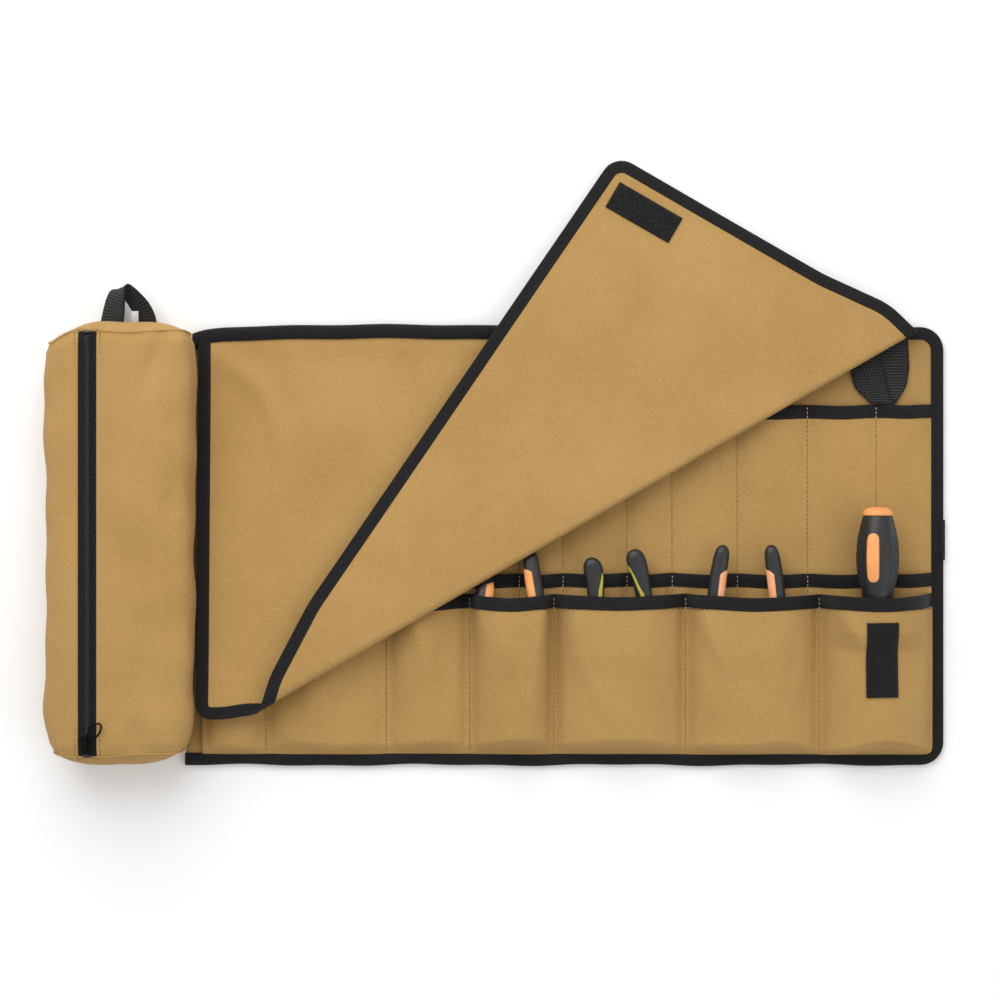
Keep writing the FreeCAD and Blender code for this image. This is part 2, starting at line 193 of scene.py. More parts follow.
def cloth_sheet(name, xs, ys, place, thickness, material):
    """A cloth sheet over the grid xs by ys. place(x, y, h) gives points at h above the cloth's middle."""
    x, y = np.meshgrid(xs, ys)
    return thick_sheet(name, place(x, y, thickness / 2), place(x, y, -thickness / 2), material)


def swept(name, rings, material, closed=False):
    """A tube through rings of points, an array (rings, points, 3)."""
    count, around, _ = rings.shape
    faces = grid_faces(count, around, close_rows=closed, close_columns=True)
    if not closed:
        faces.append(tuple(range(around))[::-1])
        faces.append(tuple((count - 1) * around + j for j in range(around)))
    return mesh_object(name, rings.reshape(-1, 3), faces, material)


def rounded_path(corners, radii, step=4.0):
    """A path in plan through corners, each rounded by an arc. Returns points and unit tangents."""
    arc_parts = 8
    corners = [np.array(c, float) for c in corners]
    points = []
    for i, (corner, radius) in enumerate(zip(corners, radii)):
        if radius == 0:
            points.append(corner)
            continue
        into = unit(corner - corners[i - 1])
        out = unit(corners[(i + 1) % len(corners)] - corner)
        turn = math.atan2(into[0] * out[1] - into[1] * out[0], float(into @ out))
        reach = abs(radius * math.tan(turn / 2))
        side = np.array([-into[1], into[0]]) * math.copysign(1, turn)
        centre = corner - into * reach + side * radius
        arm = -side * radius
        for k in range(arc_parts + 1):
            a = turn * k / arc_parts
            points.append(centre + np.array([arm[0] * math.cos(a) - arm[1] * math.sin(a),
                                             arm[0] * math.sin(a) + arm[1] * math.cos(a)]))
    dense = [points[0]]
    for a, b in zip(points, points[1:]):
        parts = max(1, int(np.linalg.norm(b - a) / step))
        dense += [a + (b - a) * k / parts for k in range(1, parts + 1)]
    dense = np.array(dense)
    return dense, unit(np.gradient(dense, axis=0))


def binding(name, path, tangents, side, width, thickness, place):
    """A flat tape with full edges and a low crown along a path in plan, to its left where side is 1."""
    half = thickness / 2
    upper = [(0.0, 0.0), (0.25, half * 0.72), (1.0, half), (width * 0.5, half * 1.175),
             (width - 1.0, half), (width - 0.3, half * 0.75), (width, 0.0)]
    profile = np.array(upper + [(a, -h) for a, h in upper[-2:0:-1]])
    inward = turned_left(tangents) * side
    x = path[:, :1] + inward[:, :1] * profile[:, 0]
    y = path[:, 1:2] + inward[:, 1:2] * profile[:, 0]
    return swept(name, place(x, y, np.broadcast_to(profile[:, 1], x.shape)), TAPE)


# a small rounded rod, as (share of its length, share of its radius) from end to end
CAPSULE_RINGS = ((-0.5, 0.25), (-0.38, 0.85), (0.0, 1.0), (0.38, 0.85), (0.5, 0.25))


def capsules(name, centres, along, length, radius, material, flatness=0.8, sides=6):
    """Many small rounded rods as one mesh, each about its centre and pointing along its direction."""
    centres, along = np.asarray(centres, float), unit(np.asarray(along, float))
    side = np.cross(along, [0.0, 0.0, 1.0])
    side = side / np.maximum(np.linalg.norm(side, axis=1, keepdims=True), 1e-9)
    up = np.cross(side, along) * flatness
    rings = [rings_about(centres + along * offset * length, side * radius * share, up * radius * share, sides)
             for offset, share in CAPSULE_RINGS]
    each = len(CAPSULE_RINGS) * sides
    faces = []
    for start in range(0, len(centres) * each, each):
        faces += grid_faces(len(CAPSULE_RINGS), sides, start=start, close_columns=True)
        faces.append(tuple(start + s for s in range(sides))[::-1])
        faces.append(tuple(start + each - sides + s for s in range(sides)))
    return mesh_object(name, np.stack(rings, axis=1).reshape(-1, 3), faces, material)


def stitches(name, lines, material, length=2.6, gap=1.1, radius=0.28):
    """Rows of stitches. Each line is an array of points that the row follows."""
    centres, along = [], []
    for line in lines:
        at = distance_along(line)
        count = max(1, int(at[-1] / (length + gap)))
        middles = (np.arange(count) + 0.5) * at[-1] / count
        centres.append(at_distance(middles, at, line))
        along.append(at_distance(middles + 0.4, at, line) - at_distance(middles - 0.4, at, line))
    return capsules(name, np.concatenate(centres), np.concatenate(along), length, radius, material)


# ---- what each piece says to the frame ----
def finish_piece(obj, body, slot, *replaced):
    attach(obj, body)
    if replaced:
        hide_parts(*replaced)
    return obj


def blend_piece(obj, bodies, start, end, slot, *replaced):
    """Bakes the piece's place into its mesh and hides the CAD parts that it replaces. bodies, start and end are
    not used; start and end are places in metres.
    """
    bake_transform(obj)
    if replaced:
        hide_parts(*replaced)


def sew(name, lines, material, body, slot, *size):
    finish_piece(stitches(name, lines, material, *size), body, slot)


def make_steel(*names):
    """Gives CAD nodes that stay in view their steel."""
    for name in names:
        materials = frame["nodes"][name].data.materials
        materials.clear()
        materials.append(STEEL)


# ---- materials ----
class Nodes:
    """A short way to build a material's node tree."""

    def __init__(self, name):
        self.material = bpy.data.materials.new(name)
        self.material.use_nodes = True
        self.tree = self.material.node_tree
        self.shader = self.tree.nodes["Principled BSDF"]
        self.coordinates = self.new("TexCoord").outputs["Object"]

    def new(self, kind, **values):
        made = self.tree.nodes.new(f"ShaderNode{kind}")
        for key, value in values.items():
            made.inputs[key].default_value = value
        return made

    def link(self, out, into):
        self.tree.links.new(out, into)

    def set(self, **values):
        for key, value in values.items():
            self.shader.inputs[key.replace("_", " ")].default_value = value

    def math(self, operation, a, b=None):
        made = self.new("Math")
        made.operation = operation
        for i, value in enumerate((a, b)):
            if isinstance(value, (int, float)):
                made.inputs[i].default_value = value
            elif value is not None:
                self.link(value, made.inputs[i])
        return made.outputs[0]

    def sum(self, *parts):
        """Adds up parts. Each is a value, or a value and its share."""
        values = [self.math("MULTIPLY", *part) if isinstance(part, tuple) else part for part in parts]
        total = values[0]
        for value in values[1:]:
            total = self.math("ADD", total, value)
        return total

    def noise(self, scale, detail=2.0, roughness=0.5, coordinates=None):
        made = self.new("TexNoise", Scale=scale, Detail=detail, Roughness=roughness)
        self.link(coordinates or self.coordinates, made.inputs["Vector"])
        return made.outputs["Fac"]

    def weave(self, weft_pitch, warp_pitch):
        """Two crossing sets of threads, with pitches in metres, on a face of any direction."""
        split = self.new("SeparateXYZ")
        self.link(self.coordinates, split.inputs[0])
        x, y, z = split.outputs
        u, v = self.sum(x, (z, 0.83)), self.sum(y, (z, 0.71))
        weft, warp = [self.math("SINE", self.math("MULTIPLY", self.math(operation, u, v), 2 * math.pi / pitch))
                      for operation, pitch in (("ADD", weft_pitch), ("SUBTRACT", warp_pitch))]
        return self.math("MULTIPLY", weft, warp)

    def ramp(self, factor, *stops):
        """The surface's colour along a factor. Each stop is a position and a colour in linear light."""
        made = self.new("ValToRGB")
        ramp = made.color_ramp
        while len(ramp.elements) < len(stops):
            ramp.elements.new(0.5)
        for element, (position, colour) in zip(ramp.elements, stops):
            element.position = position
            element.color = (*colour, 1)
        self.link(factor, made.inputs[0])
        self.link(made.outputs["Color"], self.shader.inputs["Base Color"])

    def paint(self, factor, *stops):
        """The same with colours in display values from 0 to 255."""
        self.ramp(factor, *[(position, linear(colour)) for position, colour in stops])

    def roughen(self, value, share, least):
        self.link(self.sum((value, share), least), self.shader.inputs["Roughness"])

    def bump(self, height, distance, strength=1.0):
        made = self.new("Bump", Distance=distance, Strength=strength)
        self.link(height, made.inputs["Height"])
        self.link(made.outputs["Normal"], self.shader.inputs["Normal"])


def linear(colour):
    """A colour given in display values from 0 to 255, as linear light."""
    v = np.array(colour, float) / 255
    return np.where(v <= 0.04045, v / 12.92, ((v + 0.055) / 1.055) ** 2.4).tolist()


def canvas_material(name, base, pitch=0.75 * MM):
    """Plain-woven canvas: crossing threads, slubs, and a faint blotchy dye."""
    n = Nodes(name)
    base = np.array(base)
    weave = n.weave(pitch * 1.41, pitch * 1.41)
    slub = n.noise(900, 3, 0.6)
    blotch = n.noise(14, 3, 0.55)
    n.paint(n.sum((weave, 0.10), (slub, 0.70), (blotch, 0.30)),
            (0.22, base - (24, 23, 20)), (0.5, base), (0.78, base + (17, 17, 16)))
    n.roughen(slub, 0.12, 0.80)
    n.set(Sheen_Weight=0.04, Sheen_Roughness=0.5, Specular_IOR_Level=0.15)
    n.bump(n.sum(weave, (slub, 1.4)), 0.12 * MM, 0.75)
    return n.material


def webbing_material(name, base, pitch, strength=1.0, specks=0.0):
    """Woven tape or webbing: fine ribs across two directions, with a soft shine."""
    n = Nodes(name)
    base = np.array(base)
    weave = n.weave(pitch, pitch * 1.35)
    fibre = n.noise(900, 2, 0.6)
    n.paint(n.sum((weave, 0.28 + specks), (fibre, 0.9)),
            (0.25, base - 14), (0.55, base), (0.95, base + (34, 34, 35)))
    n.roughen(fibre, 0.25, 0.52)
    n.set(Sheen_Weight=0.04, Sheen_Roughness=0.4, Specular_IOR_Level=0.25)
    n.bump(n.sum(weave, (fibre, 0.5)), 0.25 * MM, strength)
    return n.material


def touch_tape_material(name, curl):
    """Hook or loop tape: a field of small tufts."""
    n = Nodes(name)
    cells = n.new("TexVoronoi", Scale=curl)
    n.link(n.coordinates, cells.inputs["Vector"])
    tuft = cells.outputs["Distance"]
    fuzz = n.noise(1400, 3, 0.7)
    n.paint(n.sum((tuft, 0.8), (fuzz, 0.5)), (0.3, [30] * 3), (0.6, [16] * 3), (0.95, [6] * 3))
    n.set(Roughness=0.85, Sheen_Weight=0.06, Sheen_Roughness=0.6, Specular_IOR_Level=0.25)
    n.bump(n.math("SUBTRACT", n.math("MULTIPLY", fuzz, 0.7), tuft), 0.7 * MM)
    return n.material


def moulded_material(name, base, roughness, grain=900):
    """Moulded plastic or rubber with a fine grain and a few scuffs."""
    n = Nodes(name)
    base = np.array(base)
    fine = n.noise(grain)
    scuff = n.noise(60, 4, 0.7)
    n.paint(n.sum((fine, 0.3), (scuff, 0.7)),
            (0.3, base * 0.92), (0.55, base), (0.75, np.minimum(base + 9, 255)))
    n.roughen(scuff, 0.2, roughness - 0.1)
    n.bump(fine, 0.06 * MM, 0.4)
    return n.material


def metal_material(name, base, roughness):
    """Ground steel with fine lines."""
    n = Nodes(name)
    base = np.array(base)
    stretch = n.new("Mapping", Scale=(40, 1, 40))
    n.link(n.coordinates, stretch.inputs["Vector"])
    lines = n.noise(60, 4, coordinates=stretch.outputs[0])
    n.paint(lines, (0.3, base - 22), (0.7, base))
    n.roughen(lines, 0.25, roughness)
    n.set(Metallic=1.0)
    n.bump(lines, 0.05 * MM, 0.3)
    return n.material


CANVAS = canvas_material("canvas_tan", (180, 143, 86))
CANVAS_IN = canvas_material("canvas_inside", (172, 137, 83))
TAPE = webbing_material("binding_black", (22, 22, 23), 1.1 * MM, 0.7)
WEBBING = webbing_material("webbing_black", (22, 22, 23), 2.6 * MM, 1.0, specks=0.25)
WEBBING_DOTS = webbing_material("webbing_threads", (84, 83, 81), 0.8 * MM, 0.5)
HOOK = touch_tape_material("hook_tape_black", 620)
LOOP = touch_tape_material("loop_tape_black", 340)
ZIP_TAPE = webbing_material("zip_tape_black", (24, 24, 25), 0.9 * MM, 0.6)
COIL = moulded_material("zip_coil_black", (22, 22, 23), 0.32)
ZIP_METAL = metal_material("zip_metal_black", (34, 34, 36), 0.35)
LABEL = canvas_material("label_white", (232, 232, 228), 0.4 * MM)
# the cream thread, darkened with painted shade that stands in for the shade in its needle holes, for stitches
# that run through canvas
SHADED_CREAM_THREAD = moulded_material("thread_cream_painted_shade", (122, 92, 50), 0.75, 2500)
CREAM_THREAD = moulded_material("thread_cream", (196, 172, 128), 0.75, 2500)
BLACK_THREAD = moulded_material("thread_black", (24, 24, 25), 0.7, 2500)
GRIP_BLACK = moulded_material("grip_black", (30, 31, 33), 0.42, 700)
GRIP_ORANGE = moulded_material("grip_orange", (240, 160, 92), 0.5, 700)
GRIP_GREEN = moulded_material("grip_green", (178, 168, 44), 0.5, 700)
GRIP_SALMON = moulded_material("grip_salmon", (240, 166, 118), 0.5, 700)
STEEL = metal_material("tool_steel", (176, 178, 180), 0.28)


# ---- the roll ----
ROLL_LOW, ROLL_HIGH = node("edge_binding")
CORNER = 18.5
BINDING_WIDTH = ROLL_HIGH[0] - node("back_panel")[1][0]
BINDING_THICK = 3.2
CLOTH = 0.8
PANEL_LEFT = ROLL_LOW[0] + 8.0
PANEL_RIGHT = ROLL_HIGH[0] - 7.0
FOOT = ROLL_LOW[1] + 8.2
UPPER_MOUTH = node("upper_pocket_binding")[1][1] - 1.0
MIDDLE_MOUTH = node("middle_pocket_binding")[1][1] + 2.4
LOWER_MOUTH = node("lower_pocket_binding")[1][1] + 2.8
MOUTH_TAPE = 11.0
THIN_TAPE = 2.4              # thickness of the mouths' and the flap's binding
FINE_SEAMS = [-226, -164, -101, -39, -4, 47, 83, 135, 191, 246]
LOWER_SEAMS = [-241, -145, -78.5, -11.5, 93.5, 200]


def on_height(height):
    """Places points above a cloth given by a height over the plan, measured along its normal."""
    def place(x, y, h):
        e = 0.5
        z = height(x, y)
        slope_x = (height(x + e, y) - height(x - e, y)) / (2 * e)
        slope_y = (height(x, y + e) - height(x, y - e)) / (2 * e)
        size = np.sqrt(1 + slope_x ** 2 + slope_y ** 2)
        return np.stack([x - h * slope_x / size, y - h * slope_y / size, z + h / size], axis=-1)
    return place


def back_height(x, y):
    return 0.75 + 0.15 * lumps(x, y, 3, 150)


def edge_height(x, _):
    return np.full(np.shape(x), BINDING_THICK / 2)


def to_seam(x, seams):
    """Distance from each x to the nearest seam, and its share of the way to the pocket's middle."""
    edges = np.array([PANEL_LEFT] + seams + [PANEL_RIGHT], float)
    i = np.clip(np.searchsorted(edges, x) - 1, 0, len(edges) - 2)
    left, right = edges[i], edges[i + 1]
    near = np.minimum(x - left, right - x).clip(0)
    return near, near / ((right - left) / 2)


def pinch(x, y):
    """How far the two flat tiers are pressed together by the lower tier's stitches: 0 is pressed flat."""
    near, _ = to_seam(x, LOWER_SEAMS)
    return 1 - (1 - ease(near / 18)) * ease((MIDDLE_MOUTH + 5 - y) / 25)


def foot(y, reach=24.0):
    return ease((y - FOOT) / reach)


def tuck(x):
    """The panels go down under the binding along the roll's right side."""
    return ease((PANEL_RIGHT - x) / 13)


def top_droop(x, y):
    """The roll's upper left corner hangs back a little beside the case."""
    return 7.5 * np.exp(-(x - ROLL_LOW[0]).clip(0) / 18) * ease((y - 110) / 60)


def fine_bulge(x):
    near, share = to_seam(x, FINE_SEAMS)
    return (1 - (1 - share.clip(0, 1)) ** 2.2) * ease(near / 7)


def upper_height(x, y):
    mouth = 0.55 + 0.45 * ease((y - 20) / 90)
    rise = 0.7 + (3.4 * fine_bulge(x) * mouth + 0.35 * lumps(x, y, 11, 90)) * pinch(x, y)
    return 1.6 + rise * foot(y) * tuck(x)


def middle_height(x, y):
    rise = 2.4 + (7.0 * fine_bulge(x) + 0.3 * lumps(x, y, 12, 70)) * pinch(x, y)
    return 2.0 + rise * foot(y) * tuck(x)


# a tool in a pocket, as rows of (y, left edge, right edge, top) from its pocket's mouth to its tip
def pliers_envelope(name):
    low, high = node(f"{name}_grips")
    head_low, head_high = node(f"{name}_head")
    x, y, _ = sum(node(f"{name}_pivot")) / 2
    top = head_high[2] + 1.0
    return [(LOWER_MOUTH, low[0], high[0], high[2] + 1.7), (y + 26, x - 14, x + 14, high[2] + 1.7),
            (y + 8, head_low[0], head_high[0], top), (y - 14, x - 8, x + 8, top),
            (head_low[1], x - 3.5, x + 3.5, top)]


def driver_envelope():
    low, high = node("screwdriver_blade")
    x, _, axis_z = (low + high) / 2
    radius = high[0] - x
    ends = [(LOWER_MOUTH, 12.0), (-68.0, 9.4), (-82.0, radius), (low[1] + 3, radius)]
    return [(y, x - r, x + r, axis_z + r + 0.9) for y, r in ends]


TOOL_POCKETS = {LOWER_SEAMS[2]: pliers_envelope("pliers_a"), LOWER_SEAMS[3]: pliers_envelope("pliers_b"),
                LOWER_SEAMS[4]: pliers_envelope("pliers_c"), LOWER_SEAMS[5]: driver_envelope()}
LOWER_BASE = 6.4
EMPTY_TOP = node("lower_pocket_panel")[0][2] + 4.4
FOLD_RISE = 3.6


def lower_height(x, y):
    """The lower tier: slack over its empty pockets, and a tent over each tool."""
    edges = LOWER_SEAMS + [PANEL_RIGHT]
    near, share = to_seam(x, LOWER_SEAMS)
    slack = (1 - (1 - share.clip(0, 1)) ** 2.0) * ease(near / 10)
    lean = 0.75 + 0.25 * ease((y - FOOT) / 110)
    z = LOWER_BASE + (EMPTY_TOP - LOWER_BASE) * slack * lean
    folds = pocket_folds(x, y) * np.minimum(near / 12, 1) * ease((y - FOOT - 8) / 40)
    for left, tool in TOOL_POCKETS.items():
        right = edges[edges.index(left) + 1]
        rows = np.array(tool[::-1])
        a, b, top = (np.interp(y, rows[:, 0], column) for column in rows[:, 1:].T)
        rise = np.minimum((x - left) / (a - left), (right - x) / (right - b)).clip(0, 1)
        tent = (top - LOWER_BASE) * np.sin(rise * math.pi / 2) ** 0.9 * ease(near / 8)
        inside = (x >= left) & (x <= right)
        z = np.where(inside, LOWER_BASE + tent, z)
        folds = np.where(inside, np.maximum(folds, 0), folds)
    reach = 8 + 5 * slack + 3.5 * lumps(x, 0.0 * y, 23, 60)
    return 2.4 + (z - 2.4 + folds) * foot(y, reach) * tuck(x)


def pocket_folds(x, y):
    """Soft folds that run down and across from the mouth beside each row of stitches."""
    total = 0.5 * lumps(x, y, 21, 60) + 1.6 * lumps(x * 1.6, y * 0.6, 24, 70)
    down = LOWER_MOUTH - y
    for i, seam in enumerate(LOWER_SEAMS):
        ridge = seam + 10 + down * (0.32 + 0.1 * (i % 3)) + 5 * np.sin(down / 26 + i)
        total = total + FOLD_RISE * bell((x - ridge) / 7.5) * np.exp(-down / 90)
        valley = seam - 9 - down * (0.22 + 0.08 * (i % 2))
        total = total - FOLD_RISE * 0.6 * bell((x - valley) / 8.0) * np.exp(-down / 70)
    return total


def inside_corner(x, y):
    """Moves points into the roll's rounded right corners."""
    cx = ROLL_HIGH[0] - CORNER
    cy = ROLL_HIGH[1] - CORNER
    radius = CORNER - BINDING_WIDTH / 2
    dx, dy = x - cx, np.abs(y) - cy
    far = np.hypot(dx, dy)
    hit = (dx > 0) & (dy > 0) & (far > radius)
    share = np.where(hit, radius / np.maximum(far, 1e-6), 1.0)
    return np.where(hit, cx + dx * share, x), np.where(hit, np.sign(y) * (cy + dy * share), y) - top_droop(x, y)


def in_roll(height):
    place = on_height(height)
    return lambda x, y, h: place(*inside_corner(x, y), h)


def column_line(x, y0, y1, place, lift):
    ys = spaced(y0, y1)
    return place(np.full(ys.shape, float(x)), ys, lift)


def make_back():
    back = cloth_sheet("roll_back_canvas", spaced(PANEL_LEFT - 13, PANEL_RIGHT, 4.0),
                       spaced(FOOT - 1, ROLL_HIGH[1] - 6, 4.0), in_roll(back_height), 1.0, CANVAS_IN)
    finish_piece(back, "roll", "canvas", "back_panel")


def make_edge_binding():
    low, high = ROLL_LOW, ROLL_HIGH
    corners = [(low[0] - 6, low[1]), (high[0], low[1]), (high[0], high[1]), (low[0], high[1])]
    path, tangents = rounded_path(corners, [0, CORNER, CORNER, 0], 3.0)
    free = ease((high[0] - CORNER - path[:, 0]) / 20)
    wave = (0.6 * np.sin(path[:, 0] / 24) + 0.4 * np.sin(path[:, 0] / 10.5 + 1)) * free
    path[:, 1] += wave - top_droop(path[:, 0], path[:, 1])
    place = on_height(edge_height)
    tape = binding("roll_edge_binding", path, tangents, 1, BINDING_WIDTH, BINDING_THICK, place)
    finish_piece(tape, "roll", "binding_tape", "edge_binding")
    along = path + turned_left(tangents) * (BINDING_WIDTH - 2.0)
    row = place(along[:, 0], along[:, 1], BINDING_THICK / 2 + 0.15)
    sew("roll_binding_stitches", [row], BLACK_THREAD, "roll", "binding_tape")


def make_tier(name, height, seams, mouth, seam_from, sag=1.0):
    """A pocket panel, its mouth binding, and its rows of stitches."""
    place = in_roll(height)
    xs = spaced(PANEL_LEFT, PANEL_RIGHT)
    panel = cloth_sheet(f"{name}_pocket_canvas", xs, spaced(FOOT, mouth - 1), place, CLOTH, CANVAS)
    finish_piece(panel, "roll", "canvas", f"{name}_pocket_panel")

    tape_xs = xs[:-1]
    _, share = to_seam(tape_xs, seams)
    path = np.stack([tape_xs, mouth + 0.4 * np.sin(tape_xs / 37.0) + sag * (1 - ease(share))], axis=1)
    tangents = unit(np.gradient(path, axis=0))
    tape = binding(f"{name}_mouth_binding", path, tangents, -1, MOUTH_TAPE, THIN_TAPE, place)
    finish_piece(tape, "roll", "binding_tape", f"{name}_pocket_binding")
    tape_foot = mouth - MOUTH_TAPE
    row = place(xs, np.full(xs.shape, tape_foot + 1.8), 1.3)
    sew(f"{name}_mouth_stitches", [row], BLACK_THREAD, "roll", "binding_tape")
    below = [column_line(x, seam_from, tape_foot, place, CLOTH / 2 + 0.2) for x in seams]
    # stitches through canvas take the cream thread darkened with painted shade
    sew(f"{name}_pocket_stitches", below, SHADED_CREAM_THREAD, "roll", "canvas")
    across = [column_line(x, tape_foot + 0.5, mouth - 0.5, place, 1.55) for x in seams]
    sew(f"{name}_bar_stitches", across, CREAM_THREAD, "roll", "binding_tape", 2.0, 0.7, 0.32)


def make_pockets():
    make_tier("upper", upper_height, FINE_SEAMS, UPPER_MOUTH, MIDDLE_MOUTH - 10)
    make_tier("middle", middle_height, FINE_SEAMS, MIDDLE_MOUTH, LOWER_MOUTH - 10)
    make_tier("lower", lower_height, LOWER_SEAMS, LOWER_MOUTH, FOOT + 4, 2.2)


PATCH_LIFT = {1: 1.1, -1: 1.0}      # from the middle of the cloth to the middle of the tape, on either face


def make_touch_patch(name, corner, along, size, place, face, material, body):
    """A patch of touch tape on one face (1 or -1) of a cloth: a tufted field, a flat selvedge, its stitches."""
    thickness, selvedge, inset, tuft = 1.1, 1.2, 1.6, 0.45
    across = (-along[1], along[0])

    def on_cloth(s, t, h):
        return place(corner[0] + along[0] * s + across[0] * t, corner[1] + along[1] * s + across[1] * t, h)

    def tufted(s, t, h):
        rim = np.minimum(np.minimum(s, size[0] - s), np.minimum(t, size[1] - t))
        return on_cloth(s, t, h + face * (PATCH_LIFT[face] + tuft * ease(rim - selvedge) * (h * face > 0)))
    patch = cloth_sheet(f"{name}_patch", spaced(0, size[0], 1.0), spaced(0, size[1], 1.0), tufted, thickness,
                        material)
    finish_piece(patch, body, "touch_tape", name)
    ring = [(inset, inset), (size[0] - inset, inset), (size[0] - inset, size[1] - inset),
            (inset, size[1] - inset), (inset, inset)]
    rows = [on_cloth(np.linspace(s0, s1, 12), np.linspace(t0, t1, 12), face * (PATCH_LIFT[face] + 0.8))
            for (s0, t0), (s1, t1) in zip(ring, ring[1:])]
    sew(f"{name}_stitches", rows, BLACK_THREAD, body, "touch_tape")


def make_hook_tape():
    low, high = node("hook_tape")
    tilt = math.radians(1.0)
    make_touch_patch("hook_tape", low[:2] + (-3.7, 2.2), (math.cos(tilt), math.sin(tilt)),
                     (high - low)[:2] + (1.6, 1.2), on_height(lower_height), 1, HOOK, "roll")


# ---- the flap ----
# The flap is one flat cut of canvas, folded once along a crease that runs across it. fold() carries
# a point of the flat cut, at height h above its middle, onto the folded flap.
FLAP_HINGE = np.array(joint("flap_lift")["pos_m"]) / MM
FLAP_SLOPE = 0.06
CREASE_TURN = joint("flap_corner_turn")
CREASE_END = np.array(CREASE_TURN["pos_m"]) / MM
CREASE_ALONG = unit(-np.array(CREASE_TURN["axis"])[:2])
CREASE_OUT = np.array([-CREASE_ALONG[1], CREASE_ALONG[0]])
CREASE_LENGTH = 614.0
CREASE_R = (3.0, 4.5)        # the fold's radius at its upper right and lower left ends
PLANE_UP = unit(np.array([0, FLAP_SLOPE, 1]))
# leans the step from the crease to the two places that blend_flap hands on
BETWEEN_TILT = np.array([0.0008, 0.00405, 0])
# the flat cut's free edges, from the hinge's left end round to its right end
FLAT_EDGE = [(-294.5, 174.0), (-294.5, -136.5), (-272.0, -136.5), (-246.0, -132.0), (-214.0, -139.5),
             (-150.0, -142.5), (60.0, -127.5), (280.5, -112.0), (280.5, 80.0), (286.0, 138.0), (277.0, 174.0)]
FLAT_ROUNDING = [0, 12.0, 90.0, 70.0, 90.0, 150.0, 300.0, 17.0, 150.0, 60.0, 0]
FREE_CORNER = 7
FLAP_CLOTH = 0.9
SELVEDGE_TURN = 1.8


def plane_z(y):
    return FLAP_HINGE[2] + 0.5 + FLAP_SLOPE * (FLAP_HINGE[1] - y)


def flap_waves(x, y):
    """Slack in the lying part of the flap: it hangs a little between the hinge, the case and the crease."""
    curl = np.hypot(x + 300, (y - 60) / 1.35)
    ridge = 3.2 * bell((curl - 72) / 9) * bell((y - 125) / 45)
    second = 1.8 * bell((curl - 105) / 12) * bell((y - 95) / 60)
    near_hinge = ease((FLAP_HINGE[1] - y) / 30)
    sag = -2.2 * ease((y + 138) / 60) * near_hinge * ease((-x + 40) / 120)
    return (ridge + second + sag + 0.55 * lumps(x, y, 31, 170)) * near_hinge


def turned_waves(x, y):
    """Slack in the turned-back part: shallow swells, low where it passes the roll's edge."""
    beyond = ease((y - 190) / 90)
    return 1.8 * lumps(x, y, 33, 240) - 3.6 * beyond + 1.2 * ease((y - 60) / 90) * (1 - beyond)


def fold(x, y, h):
    x, y, h = np.broadcast_arrays(x, y, h)
    y = y - top_droop(x, y)
    nx, ny = CREASE_OUT
    from_end = np.stack([x - CREASE_END[0], y - CREASE_END[1]], axis=-1)
    share = np.clip(from_end @ CREASE_ALONG / CREASE_LENGTH, -0.02, 1.04)
    radius = CREASE_R[0] + (CREASE_R[1] - CREASE_R[0]) * share
    past = from_end @ CREASE_OUT
    out = unit(np.array([nx, ny, -FLAP_SLOPE * ny]))
    tangent = xyz(x - past * nx, y - past * ny, plane_z(y - past * ny))

    calm = ease(-past / 35)
    lying = xyz(x, y, plane_z(y)) + PLANE_UP * (h + flap_waves(x, y) * calm)[..., None]

    angle = np.clip(past / radius, 0, math.pi)
    arc = (tangent + out * ((radius - h) * np.sin(angle))[..., None]
           + PLANE_UP * (radius - (radius - h) * np.cos(angle))[..., None])

    beyond = past - math.pi * radius
    turned = tangent - out * beyond[..., None] + PLANE_UP * (2 * radius - h)[..., None]
    turned[..., 2] += turned_waves(turned[..., 0], turned[..., 1]) * ease(beyond / 45)
    return np.where((past <= 0)[..., None], lying, np.where((beyond >= 0)[..., None], turned, arc))


def flat_grid(inset, columns, rows):
    """The flat cut as a grid of points, moved in by that much from its free edges."""
    edge = np.array(FLAT_EDGE)
    foot_edge, side_edge = edge[1:FREE_CORNER + 1], edge[FREE_CORNER:]
    s, t = np.meshgrid(np.linspace(0, 1, columns), np.linspace(0, 1, rows))
    left = edge[0, 0] + inset
    across = left + (foot_edge[-1, 0] - inset - left) * s
    low = np.interp(across, foot_edge[:, 0], foot_edge[:, 1]) + inset
    y = edge[0, 1] * (1 - t) + low * t
    right = np.interp(y, side_edge[:, 1], side_edge[:, 0]) - inset
    return left + (right - left) * s, y


def blend_flap(obj, slot, *replaced):
    """Hands the piece to blend_piece with the flap and its corner as bodies and two places across the crease.
    """
    crease = Vector((CREASE_END - PLANE_UP * CREASE_R[0]) * MM)
    between = Vector(PLANE_UP + BETWEEN_TILT)
    blend_piece(obj, ("flap", "flap_corner"), crease + between * 0.0018, crease + between * 0.0042, slot,
                *replaced)


def make_flap():
    x, y = flat_grid(BINDING_WIDTH / 2, 284, 157)
    half = FLAP_CLOTH / 2
    cloth = thick_sheet("flap_canvas", fold(x, y, -half), fold(x, y, half), CANVAS)
    blend_flap(cloth, "canvas", "flap_panel", "flap_turned_corner", "flap_fold")

    path, tangents = rounded_path(FLAT_EDGE, FLAT_ROUNDING, 2.0)
    tape = binding("flap_edge_binding", path, tangents, 1, BINDING_WIDTH, THIN_TAPE, fold)
    blend_flap(tape, "binding_tape", "flap_binding", "flap_corner_binding")
    along = path + turned_left(tangents) * (BINDING_WIDTH - SELVEDGE_TURN)
    rows = [fold(along[:, 0], along[:, 1], h) for h in (THIN_TAPE / 2, -THIN_TAPE / 2)]
    blend_flap(stitches("flap_binding_stitches", rows, BLACK_THREAD), "binding_tape")


